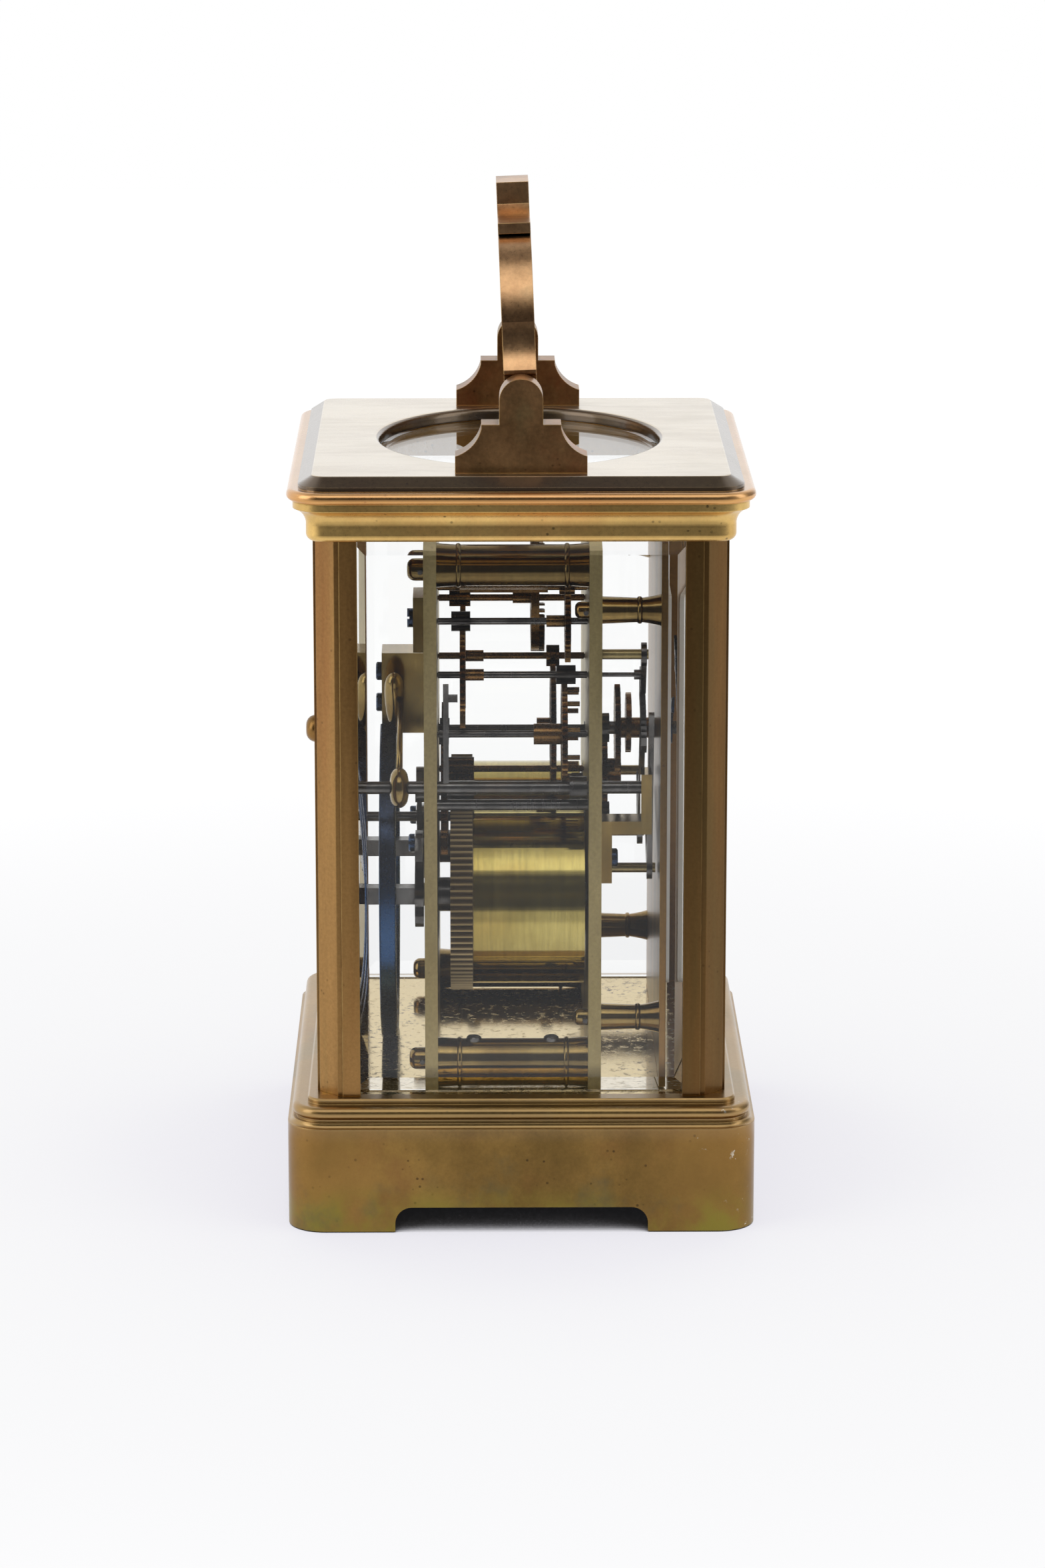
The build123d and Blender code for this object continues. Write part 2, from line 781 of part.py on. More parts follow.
with BuildPart() as handle_brackets:
    with BuildSketch(Plane(origin=(bracket_inner, 0, case_top), x_dir=(0, 1, 0), z_dir=(1, 0, 0))):
        with BuildLine():
            bracket_outline()
        make_face()
    extrude(amount=bracket_thickness)
    with Locations((bracket_inner, 0, handle_pivot_z)):
        Cylinder(
            handle_pin_radius + running_gap,
            2 * handle_pin_length,
            rotation=(0, 90, 0),
            mode=Mode.SUBTRACT,
        )
    mirror(about=Plane.YZ)
save(handle_brackets.part, "handle_brackets")

tongue_outer = bracket_inner - part_gap
tongue_inner = tongue_outer - handle_tongue


def handle_half():
    """Right half of the handle seen from the front: crown, shoulder, bowed arm, lip and tongue."""
    top = handle_top
    under = top - handle_grip
    shoulder_top = top - 5.7
    shoulder_low = shoulder_top - 1.9
    lip = tongue_outer - 0.3
    waist = lip - 2.6
    foot = handle_pivot_z - handle_width / 2
    neck = handle_pivot_z + 3.2
    Polyline((0, under), (0, top), (handle_crown, top), (handle_crown, top - 3.9))
    ThreePointArc(
        (handle_crown, top - 3.9),
        (handle_crown + 2.0, shoulder_top + 0.5),
        (handle_crown + 6.4, shoulder_top),
    )
    Polyline(
        (handle_crown + 6.4, shoulder_top),
        (handle_shoulder, shoulder_top),
        (handle_shoulder, shoulder_low),
        (handle_shoulder - 1.6, shoulder_low - 0.2),
    )
    SagittaArc((handle_shoulder - 1.6, shoulder_low - 0.2), (waist, top - 21.5), handle_bow)
    ThreePointArc((waist, top - 21.5), (waist + 0.55, top - 26.0), (lip, neck + 1.2))
    Polyline(
        (lip, neck + 1.2),
        (lip, neck + 0.5),
        (lip - 1.6, neck),
        (lip - 1.6, neck - 0.7),
        (tongue_outer, neck - 1.2),
        (tongue_outer, foot),
        (tongue_inner, foot),
        (tongue_inner, neck + 0.5),
    )
    ThreePointArc(
        (tongue_inner, neck + 0.5),
        (waist - handle_arm + 0.4, top - 26.3),
        (waist - handle_arm, top - 22.0),
    )
    SagittaArc((waist - handle_arm, top - 22.0), (handle_shoulder - 3.6, under), -handle_bow)
    Line((handle_shoulder - 3.6, under), (0, under))


with BuildPart() as handle:
    with BuildSketch(Plane.XZ):
        with BuildLine():
            handle_half()
        make_face()
    extrude(amount=handle_width / 2, both=True)
    mirror(about=Plane.YZ)
    with BuildSketch(Plane.YZ):
        with Locations((0, handle_pivot_z)):
            Circle(handle_width / 2)
        with Locations((0, handle_pivot_z + handle_rise / 2 + 1)):
            Rectangle(handle_width, handle_rise + 2)
    extrude(amount=case_half_width, both=True, mode=Mode.INTERSECT)
    for side in (-1, 1):
        pin_tip = bracket_inner + handle_pin_length - part_gap
        with Locations((side * (tongue_inner + pin_tip) / 2, 0, handle_pivot_z)):
            Cylinder(handle_pin_radius, pin_tip - tongue_inner, rotation=(0, 90, 0))
save(handle.part.rotate(Axis((0, 0, handle_pivot_z), (1, 0, 0)), -handle_lean), "handle")

# Places of the movement pillars and of the dial feet
top_pillar_x = plate_width / 2 - pillar_inset
bottom_pillar_x = plate_width / 2 - pillar_inset - 1.0
pillar_places = []
for side in (-1, 1):
    pillar_places.append((side * top_pillar_x, plate_top - top_pillar_drop, top_pillar_radius))
    bottom_pillar_z = floor_height + bottom_pillar_radius + pillar_flare
    pillar_places.append((side * bottom_pillar_x, bottom_pillar_z, bottom_pillar_radius))
foot_places = []
for side in (-1, 1):
    foot_places.append((side * (plate_width / 2 - dial_foot_inset), floor_height + dial_foot_rise))
    foot_places.append((side * (plate_width / 2 - dial_foot_inset), plate_top - dial_foot_drop))
train_places = [
    strike_second_at, pin_at, gathering_at, warning_at, fly_at, going_second_at, third_at, contrate_at
]


def plate_bores(y_back, y_front):
    """Holes that both plates share."""
    for place in train_places:
        rod(place, y_back, y_front, pivot_radius + running_gap, Mode.SUBTRACT)
    for place in (strike_barrel_at, going_barrel_at):
        rod(place, y_back, y_front, barrel_pivot_radius + running_gap, Mode.SUBTRACT)
    for x, z, radius in pillar_places:
        rod((x, z), y_back, y_front, pillar_tenon_radius + running_gap, Mode.SUBTRACT)
    rod(hammer_at, y_back, y_front, hammer_arbor_radius + running_gap, Mode.SUBTRACT)
    rod(set_at, y_back, y_front, set_arbor_radius + running_gap, Mode.SUBTRACT)
    rod(centre_at, y_back, y_front, centre_arbor_radius + running_gap, Mode.SUBTRACT)


with BuildPart() as back_plate:
    block((-plate_width / 2, plate_width / 2), (back_inner, back_outer), (floor_height, plate_top))
    plate_bores(back_outer, back_inner)
save(back_plate.part, "back_plate")

with BuildPart() as front_plate:
    block((-plate_width / 2, plate_width / 2), (front_outer, front_inner), (floor_height, plate_top))
    plate_bores(front_inner, front_outer)
    for place in foot_places:
        rod(place, front_inner, front_outer, dial_foot_tenon_radius + running_gap, Mode.SUBTRACT)
    for place in (minute_at, rack_at, rack_hook_at):
        rod(place, front_outer, rack_back - layer - part_gap, stud_radius)
    rod(lifting_at, front_outer, dial_back + part_gap, stud_radius)
save(front_plate.part, "front_plate")


def turned(place, outline, *sizes):
    """Piece turned about a line along Y through a place of the plates; the outline gives radius and Y."""
    with BuildSketch(Plane(origin=(place[0], 0, place[1]), x_dir=(1, 0, 0), z_dir=(0, 0, 1))) as profile:
        with BuildLine():
            outline(*sizes)
        make_face()
    revolve(profile.sketch, axis=Axis((place[0], 0, place[1]), (0, 1, 0)))


def bead(radius, middle):
    """Small half-round ring on a turned outline, from its dial side to its rear side."""
    half = pillar_bead / 2
    ThreePointArc((radius, middle - half), (radius + pillar_flare, middle), (radius, middle + half))


def domed_end(radius, start, end):
    """Straight tenon with a rounded end and a small flat on the axis."""
    dome = 0.7 * radius
    flat = 0.3 * radius
    Line((radius, start), (radius, end - dome))
    ThreePointArc((radius, end - dome), (0.82 * radius, end - 0.3 * dome), (flat, end))
    Line((flat, end), (0, end))


def pillar_outline(radius):
    """Flared shoulder, bead, plain body, bead, flared shoulder and a domed tenon."""
    wide = radius + pillar_flare
    half = pillar_bead / 2
    low_bead = front_inner + pillar_bead_inset
    high_bead = back_inner - pillar_bead_inset
    Polyline(
        (0, front_outer), (pillar_tenon_radius, front_outer), (pillar_tenon_radius, front_inner),
        (wide, front_inner), (radius, low_bead - half),
    )
    bead(radius, low_bead)
    Line((radius, low_bead + half), (radius, high_bead - half))
    bead(radius, high_bead)
    Polyline((radius, high_bead + half), (wide, back_inner), (pillar_tenon_radius, back_inner))
    domed_end(pillar_tenon_radius, back_inner, back_outer + pillar_tenon_length)
    Line((0, back_outer + pillar_tenon_length), (0, front_outer))


def foot_outline():
    """Trumpet at the dial, bead, slim body that widens to the plate, and a domed tenon."""
    ring = dial_back + dial_foot_bead_place
    half = pillar_bead / 2
    Line((0, dial_back), (dial_foot_base_radius, dial_back))
    ThreePointArc(
        (dial_foot_base_radius, dial_back),
        ((dial_foot_base_radius + 2 * dial_foot_radius) / 3, (dial_back + ring) / 2),
        (dial_foot_radius, ring - half),
    )
    bead(dial_foot_radius, ring)
    Polyline(
        (dial_foot_radius, ring + half), (dial_foot_radius + dial_foot_flare, front_outer),
        (dial_foot_tenon_radius, front_outer),
    )
    domed_end(dial_foot_tenon_radius, front_outer, front_inner + dial_foot_tenon_length)
    Line((0, front_inner + dial_foot_tenon_length), (0, dial_back))


pin_y = back_outer + pin_radius + 0.1
foot_pin_y = front_inner + pin_radius + 0.1
with BuildPart() as movement_pillars:
    for x, z, radius in pillar_places:
        turned((x, z), pillar_outline, radius)
        with Locations((x, pin_y, z)):
            Cylinder(pin_radius + running_gap, pin_length + 1, rotation=(0, 90, 0), mode=Mode.SUBTRACT)
save(movement_pillars.part, "movement_pillars")

with BuildPart() as dial_feet:
    for place in foot_places:
        turned(place, foot_outline)
        with Locations((place[0], foot_pin_y, place[1])):
            Cylinder(pin_radius + running_gap, pin_length + 1, rotation=(0, 90, 0), mode=Mode.SUBTRACT)
save(dial_feet.part, "dial_feet")

with BuildPart() as taper_pins:
    for x, z, radius in pillar_places:
        with Locations((x, pin_y, z)):
            Cylinder(pin_radius, pin_length, rotation=(0, 90, 0))
    for place in foot_places:
        with Locations((place[0], foot_pin_y, place[1])):
            Cylinder(pin_radius, pin_length, rotation=(0, 90, 0))
    stop_rod_at = (hammer_at[0] + stop_rod_offset[0], hammer_at[1] + stop_rod_offset[1])
    rod(stop_rod_at, back_inner, front_inner, stop_rod_radius)
save(taper_pins.part, "taper_pins")

# Dial
mask_half = plate_width / 2 - mask_inset
with BuildPart() as dial_mask:
    block(
        (-mask_half, mask_half), (dial_back, dial_back - mask_thickness),
        (floor_height + part_gap, plate_top + mask_rise),
    )
    rod(centre_at, dial_back, dial_back - mask_thickness, hour_tube_radius + part_gap, Mode.SUBTRACT)
save(dial_mask.part, "dial_mask")

with BuildPart() as enamel_dial:
    with BuildSketch(upright(dial_back - mask_thickness)):
        with Locations((0, centre_at[1] - enamel_drop)):
            RectangleRounded(enamel_width, enamel_height, 1.5)
        with Locations(centre_at):
            Circle(hour_tube_radius + part_gap, mode=Mode.SUBTRACT)
    extrude(amount=dial_thickness - mask_thickness)
save(enamel_dial.part, "enamel_dial")

# Gong on its block
gong_back = back_outer + gong_standoff + gong_width
gong_front = gong_back - gong_width
gong_at = (0.0, floor_height + gong_floor_gap + gong_radius)
gong_line = gong_radius - gong_strip / 2
gong_inner = gong_line - gong_strip / 2
gong_start = 90 + degrees(asin(gong_block_width / 2 / gong_inner))


def gong_arcs():
    """Half turns of the gong's middle line: height of the centre, radius, start and sweep in degrees."""
    arcs = [(gong_at[1], gong_line, gong_start, 270 - gong_start)]
    sweep_left = gong_turns * 360 - (270 - gong_start)
    radius = gong_line
    height = gong_at[1]
    start = 270
    while sweep_left > 1:
        radius -= gong_pitch / 2
        height += -gong_pitch / 2 if start == 270 else gong_pitch / 2
        arcs.append((height, radius, start, min(180, sweep_left)))
        sweep_left -= 180
        start = 90 if start == 270 else 270
    return arcs


def strip_outline(arcs, thickness, centre_x):
    """Closed outline of a strip that follows arcs end to end."""
    for height, radius, start, turn in arcs:
        CenterArc((centre_x, height), radius + thickness / 2, start, turn)
        CenterArc((centre_x, height), radius - thickness / 2, start, turn)
    for height, radius, angle in (arcs[0][:3], (arcs[-1][0], arcs[-1][1], arcs[-1][2] + arcs[-1][3])):
        across = (cos(radians(angle)), sin(radians(angle)))
        inner = radius - thickness / 2
        outer = radius + thickness / 2
        Line(
            (centre_x + inner * across[0], height + inner * across[1]),
            (centre_x + outer * across[0], height + outer * across[1]),
        )


with BuildPart() as gong:
    with BuildSketch(upright(gong_back)):
        with BuildLine():
            strip_outline(gong_arcs(), gong_strip, gong_at[0])
        make_face()
    extrude(amount=gong_width)
save(gong.part, "gong")
print("least gap between turns of the gong", round(gong_pitch - gong_strip, 3))

block_half = gong_block_width / 2
block_low = gong_at[1] + gong_line * sin(radians(gong_start)) - gong_strip
with BuildPart() as gong_block:
    block(
        (-block_half, block_half), (back_outer, gong_back - part_gap),
        (block_low, block_low + gong_block_height),
    )
save(gong_block.part, "gong_block")


def barrel(label, place):
    """Drum and great wheel turned as one, running on the winding arbor."""
    with BuildPart() as drum:
        prism(place, great_back, great_front, wheel_teeth(great_module, great_teeth, 0.0))
        rod(place, great_front, barrel_front, barrel_radius)
        rod(place, great_back, barrel_front, barrel_arbor_radius + running_gap, Mode.SUBTRACT)
    save(drum.part, label)


barrel("strike_barrel", strike_barrel_at)
barrel("going_barrel", going_barrel_at)


def winding_arbor(label, place, hand):
    """Barrel arbor with its ratchet and the square for the key."""
    with BuildPart() as arbor:
        rod(place, great_back + running_gap, barrel_front, barrel_arbor_radius)
        rod(place, back_inner - running_gap, great_back + running_gap, barrel_shoulder_radius)
        rod(place, ratchet_back, back_inner - running_gap, barrel_pivot_radius)
        rod(place, barrel_front, front_outer, barrel_pivot_radius)
        steps = ((ratchet_radius - 1.0, -1), (ratchet_radius, -0.8))
        teeth = [(hand * u, v) for u, v in toothed(ratchet_teeth, steps, 0.0)]
        prism(place, ratchet_back, ratchet_back - ratchet_width, teeth)
        block(
            (place[0] - winding_square / 2, place[0] + winding_square / 2),
            (ratchet_back, back_outer + winding_reach),
            (place[1] - winding_square / 2, place[1] + winding_square / 2),
        )
    save(arbor.part, label)


ratchet_front = back_outer + part_gap
ratchet_back = ratchet_front + ratchet_width
winding_arbor("strike_winding_arbor", strike_barrel_at, -1)
winding_arbor("going_winding_arbor", going_barrel_at, 1)


def click_piece(label, place, hand):
    """Click that stands on a shouldered screw beside the ratchet, its nose just clear of the teeth."""
    pivot = placed(place, 90 + hand * 42, click_distance)
    nose = placed(place, 90 - hand * 6, ratchet_radius + part_gap)
    heel = placed(place, 90 - hand * 4, ratchet_radius + 2.3)
    tail = placed(pivot, 90 + hand * 60, 3.4)
    with BuildPart() as click:
        rod(pivot, ratchet_back, ratchet_back - click_width, 1.9)
        with BuildSketch(upright(ratchet_back)) as body:
            with BuildLine():
                Polyline(placed(pivot, 270 - hand * 30, 1.5), nose, heel, placed(pivot, 90, 1.5), close=True)
            make_face()
            with BuildLine():
                Polyline(placed(pivot, 90, 1.2), tail, placed(pivot, 90 + hand * 90, 1.2), close=True)
            make_face()
        extrude(amount=click_width)
        rod(pivot, ratchet_back, ratchet_back - click_width, screw_shank_radius + running_gap, Mode.SUBTRACT)
    save(click.part, label)
    return pivot


strike_click_at = click_piece("strike_click", strike_barrel_at, -1)
going_click_at = click_piece("going_click", going_barrel_at, 1)


def turned_arbor(place, module, leaves, phase, leaf_back, leaf_front, nose=front_outer):
    """Arbor on two pivots with a pinion cut in it."""
    rod(place, back_outer, nose, pivot_radius)
    rod(place, back_inner - part_gap / 2, front_inner + part_gap / 2, arbor_radius)
    prism(place, leaf_back, leaf_front, pinion_leaves(module, leaves, phase))


def spoked_wheel(place, y_back, module, teeth, bore=arbor_radius, thickness=wheel_thickness):
    """Crossed-out wheel."""
    rim = module * teeth / 2 - 1.75 * module - wheel_rim
    crossed_wheel(place, y_back, y_back - thickness, wheel_teeth(module, teeth, 0.0), rim, bore)


def collet(place, y_back, y_front, radius):
    """Brass sleeve that holds a wheel on its arbor."""
    rod(place, y_back, y_front, radius)
    rod(place, y_back, y_front, arbor_radius, Mode.SUBTRACT)


second_thickness = second_back - second_front
leaf_low = great_front - part_gap
with BuildPart() as strike_second_arbor:
    turned_arbor(strike_second_at, great_module, great_leaves, strike_second_leaf, second_front, leaf_low)
save(strike_second_arbor.part, "strike_second_arbor")

with BuildPart() as strike_second_wheel:
    spoked_wheel(
        strike_second_at, second_back, strike_second_module, strike_second_teeth, thickness=second_thickness
    )
save(strike_second_wheel.part, "strike_second_wheel")

with BuildPart() as pin_arbor:
    turned_arbor(
        pin_at, strike_second_module, strike_second_leaves, pin_leaf,
        back_inner - part_gap, second_front - part_gap,
    )
save(pin_arbor.part, "pin_arbor")

with BuildPart() as pin_wheel:
    spoked_wheel(pin_at, pin_wheel_back, pin_module, pin_teeth)
    collet(pin_at, pin_wheel_back + collet_length, pin_wheel_back, collet_radius)
    for index in range(pins_on_wheel):
        place = placed(pin_at, 360 * (index + 0.5) / pins_on_wheel, pin_ring_radius)
        rod(place, pin_wheel_back, pin_wheel_back - wheel_thickness - lifting_pin_length, lifting_pin_radius)
save(pin_wheel.part, "pin_wheel")

with BuildPart() as gathering_arbor:
    pallet_front = rack_back - layer
    turned_arbor(
        gathering_at, pin_module, pin_leaves, gathering_leaf,
        pin_wheel_back + 1.0, pin_wheel_back - wheel_thickness - 1.5, pallet_front,
    )
    rod(gathering_at, rack_back + layer, pallet_front, gathering_hub_radius)
    with BuildSketch(upright(rack_back)):
        with Locations(gathering_at):
            with Locations((0, gathering_finger / 2)):
                Rectangle(gathering_hub_radius, gathering_finger)
    extrude(amount=layer)
save(gathering_arbor.part, "gathering_arbor")

with BuildPart() as gathering_wheel:
    spoked_wheel(gathering_at, rear_wheel_back, gathering_module, gathering_teeth)
    collet(gathering_at, rear_wheel_front, rear_wheel_front - small_collet_length, small_collet_radius)
save(gathering_wheel.part, "gathering_wheel")

with BuildPart() as warning_arbor:
    turned_arbor(
        warning_at, gathering_module, gathering_leaves, warning_leaf,
        rear_wheel_back + 1.5, rear_wheel_back - wheel_thickness - 0.9,
    )
save(warning_arbor.part, "warning_arbor")

with BuildPart() as warning_wheel:
    spoked_wheel(warning_at, warning_wheel_back, warning_module, warning_teeth)
    collet(warning_at, warning_wheel_back + small_collet_length, warning_wheel_back, small_collet_radius)
save(warning_wheel.part, "warning_wheel")

with BuildPart() as fly:
    turned_arbor(
        fly_at, warning_module, warning_leaves, fly_leaf,
        warning_wheel_back + 0.9, warning_wheel_back - wheel_thickness - 0.9,
    )
    block(
        (fly_at[0] - fly_half, fly_at[0] + fly_half),
        (rear_wheel_back, warning_wheel_back + 3.0),
        (fly_at[1] - fly_thickness / 2, fly_at[1] + fly_thickness / 2),
    )
save(fly.part, "fly")

with BuildPart() as going_second:
    turned_arbor(going_second_at, great_module, great_leaves, going_second_leaf, second_front, leaf_low)
    spoked_wheel(
        going_second_at, second_back, going_second_module, going_second_teeth, thickness=second_thickness
    )
save(going_second.part, "going_second")

cannon_front = dial_front - hand_space + 1.1
with BuildPart() as centre_arbor:
    rod(centre_at, back_outer, back_inner - part_gap / 2, centre_arbor_radius)
    rod(centre_at, back_inner - part_gap / 2, front_inner + part_gap / 2, arbor_radius)
    rod(centre_at, front_inner + part_gap / 2, cannon_front, centre_arbor_radius)
    prism(
        centre_at, back_inner - part_gap, second_front - part_gap,
        pinion_leaves(going_second_module, going_second_leaves, centre_leaf),
    )
    prism(
        centre_at, minute_back + part_gap, minute_back - layer - part_gap,
        pinion_leaves(motion_module, cannon_leaves, 0.0),
    )
save(centre_arbor.part, "centre_arbor")

with BuildPart() as centre_wheel:
    spoked_wheel(centre_at, centre_wheel_back, centre_module, centre_teeth)
    collet(centre_at, centre_wheel_back + collet_length / 2, centre_wheel_back, collet_radius)
save(centre_wheel.part, "centre_wheel")

with BuildPart() as third_wheel:
    turned_arbor(
        third_at, centre_module, centre_leaves, third_leaf,
        centre_wheel_back + 0.7, centre_wheel_back - wheel_thickness - 0.7,
    )
    spoked_wheel(third_at, rear_wheel_back, third_module, third_teeth)
    rod(third_at, rear_wheel_front, rear_wheel_front - small_collet_length, small_collet_radius)
save(third_wheel.part, "third_wheel")

# Contrate wheel, whose teeth stand forwards from its rim into the upright escape pinion
crown_front = contrate_back - contrate_rim
crown_tip = crown_front - contrate_tooth
crown_inner = contrate_radius - contrate_face / 2
crown_outer = contrate_radius + contrate_face / 2
with BuildPart() as contrate_wheel:
    turned_arbor(
        contrate_at, third_module, third_leaves, contrate_leaf,
        rear_wheel_back + 2.0, rear_wheel_back - wheel_thickness - 0.9,
    )
    rod(contrate_at, contrate_back + small_collet_length, contrate_back, small_collet_radius)
    with BuildSketch(upright(contrate_back)) as crown:
        with Locations(contrate_at):
            Circle(crown_outer)
            Circle(crown_inner, mode=Mode.SUBTRACT)
    extrude(amount=contrate_rim)
    with BuildSketch(upright(contrate_back)) as web:
        with Locations(contrate_at):
            Circle(collet_radius + 0.6)
            Rectangle(2 * crown_inner + 0.6, 1.4)
            Rectangle(1.4, 2 * crown_inner + 0.6)
    extrude(amount=contrate_rim / 2)
    with BuildSketch(upright(crown_front)) as crown_teeth:
        for index in range(contrate_teeth):
            middle = pi / 2 + pi / contrate_teeth * (2 * index + 1)
            half = 0.28 * pi / contrate_teeth
            with Locations(contrate_at):
                Polygon(
                    (crown_inner * cos(middle - half), crown_inner * sin(middle - half)),
                    (crown_outer * cos(middle - half), crown_outer * sin(middle - half)),
                    (crown_outer * cos(middle + half), crown_outer * sin(middle + half)),
                    (crown_inner * cos(middle + half), crown_inner * sin(middle + half)),
                    align=None,
                )
    extrude(amount=contrate_tooth)
save(contrate_wheel.part, "contrate_wheel")

# Platform with the escapement
platform_top = plate_top + platform_thickness
escape_pitch = contrate_radius * escape_leaves / contrate_teeth
escape_at = (contrate_at[0], crown_tip + 0.45 - escape_pitch)
pallet_at = placed(escape_at, escapement_bearing, pallet_distance)
balance_at = placed(pallet_at, escapement_bearing, lever_distance)
escape_low = platform_top + 1.6
escape_thickness = 0.6
balance_low = platform_top + 3.6
balance_height = 1.4
spring_low = balance_low + balance_height + 0.5
cock_low = balance_low + balance_height + 1.6
cock_high = cock_low + 1.5
bridge_low = escape_low + escape_thickness + 0.7
bridge_high = bridge_low + 0.9


def flat_prism(z_low, z_high, points, mode=Mode.ADD):
    """Straight prism along Z on an outline in X and Y."""
    with BuildSketch(Plane.XY.offset(z_low)) as outline:
        Polygon(*points, align=None)
    extrude(outline.sketch, amount=z_high - z_low, mode=mode)


def shifted(points, place):
    """Outline moved to a place."""
    return [(place[0] + u, place[1] + v) for u, v in points]


with BuildPart() as platform:
    block((-platform_width / 2, platform_width / 2), (front_outer, back_outer), (plate_top, platform_top))
    post(*escape_at, plate_top, platform_top, arbor_radius + running_gap, Mode.SUBTRACT)
    for place in (pallet_at, balance_at):
        post(*place, plate_top, platform_top, pivot_radius + running_gap, Mode.SUBTRACT)
save(platform.part, "platform")

with BuildPart() as escape_wheel:
    post(*escape_at, contrate_at[1] + crown_inner - 0.8, escape_low + escape_thickness, arbor_radius)
    post(*escape_at, escape_low, bridge_high, pivot_radius)
    leaf_root = escape_pitch - 0.45
    leaf_tip = escape_pitch + 0.3
    leaf_steps = ((leaf_root, -0.45), (leaf_tip, -0.2), (leaf_tip, 0.2), (leaf_root, 0.45))
    flat_prism(
        contrate_at[1] + crown_inner - 0.5, contrate_at[1] + crown_outer + 0.6,
        shifted(toothed(escape_leaves, leaf_steps, pi / 2), escape_at),
    )
    tooth_steps = ((escape_radius * 0.74, -1), (escape_radius, -0.15), (escape_radius * 0.97, 0.25))
    flat_prism(
        escape_low, escape_low + escape_thickness,
        shifted(toothed(escape_teeth, tooth_steps, 0.0), escape_at),
    )
save(escape_wheel.part, "escape_wheel")

with BuildPart() as pallet_lever:
    toward = escapement_bearing
    post(*pallet_at, plate_top, escape_low + escape_thickness + 0.4, pivot_radius)
    post(*pallet_at, platform_top + 0.4, escape_low + escape_thickness, arbor_radius + 0.3)
    fork = placed(pallet_at, toward, lever_distance - roller_radius - 0.6)
    left_pallet = placed(pallet_at, toward + 180 - pallet_spread, pallet_arm)
    right_pallet = placed(pallet_at, toward + 180 + pallet_spread, pallet_arm)
    for end, half in ((fork, 0.4), (left_pallet, 0.35), (right_pallet, 0.35)):
        flat_prism(escape_low, escape_low + escape_thickness, bar(pallet_at, end, half, half))
save(pallet_lever.part, "pallet_lever")

with BuildPart() as balance:
    post(*balance_at, plate_top, cock_high, pivot_radius)
    post(*balance_at, platform_top + 0.4, cock_low - 0.3, arbor_radius)
    post(*balance_at, escape_low - 0.3, escape_low + escape_thickness + 0.3, roller_radius)
    with BuildSketch(Plane.XY.offset(balance_low)) as rim:
        with Locations(balance_at):
            Circle(balance_radius)
            Circle(balance_radius - 1.2, mode=Mode.SUBTRACT)
    extrude(amount=balance_height)
    with BuildSketch(Plane.XY.offset(balance_low + balance_height / 4)) as arms:
        with Locations(balance_at):
            Rectangle(2 * balance_radius - 1.6, 1.6)
            Circle(1.8)
    extrude(amount=balance_height / 2)
save(balance.part, "balance")


def hairspring_arcs():
    """Half turns of the hairspring from its collet outwards: centre height, radius, start and sweep."""
    arcs = []
    radius = hairspring_inner
    height = balance_at[1]
    for half_turn in range(2 * hairspring_turns):
        start = 90 if half_turn % 2 == 0 else 270
        arcs.append((height, radius, start, 180))
        height += hairspring_pitch / 2 if start == 90 else -hairspring_pitch / 2
        radius += hairspring_pitch / 2
    return arcs


with BuildPart() as hairspring:
    with BuildSketch(Plane.XY.offset(spring_low)):
        with BuildLine():
            strip_outline(hairspring_arcs(), hairspring_strip, balance_at[0])
        make_face()
    extrude(amount=0.5)
    post(*balance_at, spring_low, spring_low + 0.5, hairspring_inner)
    post(*balance_at, spring_low, spring_low + 0.5, arbor_radius, Mode.SUBTRACT)
save(hairspring.part, "hairspring")
print("least gap between turns of the hairspring", round(hairspring_pitch - hairspring_strip, 3))

with BuildPart() as platform_cocks:
    foot_x = balance_at[0] - balance_radius - 3.6
    block(
        (foot_x - 3.0, foot_x + 2.4), (balance_at[1] - 3.5, balance_at[1] + 3.5),
        (platform_top, cock_high),
    )
    flat_prism(
        cock_low, cock_high,
        [
            (foot_x, balance_at[1] - 3.5), (balance_at[0] + 2.2, balance_at[1] - 1.8),
            (balance_at[0] + 2.2, balance_at[1] + 1.8), (foot_x, balance_at[1] + 3.5),
        ],
    )
    post(*balance_at, cock_low, cock_high, pivot_radius + running_gap, Mode.SUBTRACT)
    bridge_y = escape_at[1] - escape_radius - 2.4
    block(
        (escape_at[0] - 1.6, escape_at[0] + 1.6), (bridge_y - 1.5, bridge_y + 1.5),
        (platform_top, bridge_high),
    )
    block(
        (escape_at[0] - 1.2, escape_at[0] + 1.2), (bridge_y, escape_at[1] + 1.2),
        (bridge_low, bridge_high),
    )
    post(*escape_at, bridge_low, bridge_high, pivot_radius + running_gap, Mode.SUBTRACT)
save(platform_cocks.part, "platform_cocks")

# Motion work under the dial and the hands
with BuildPart() as minute_wheel:
    prism(
        minute_at, minute_back, minute_back - layer,
        wheel_teeth(motion_module, minute_teeth, minute_phase),
    )
    prism(
        minute_at, minute_back - layer, hour_back - layer - part_gap,
        pinion_leaves(hour_module, minute_leaves, 0.0),
    )
    rod(minute_at, minute_back, hour_back - layer - part_gap, stud_radius + running_gap, Mode.SUBTRACT)
save(minute_wheel.part, "minute_wheel")

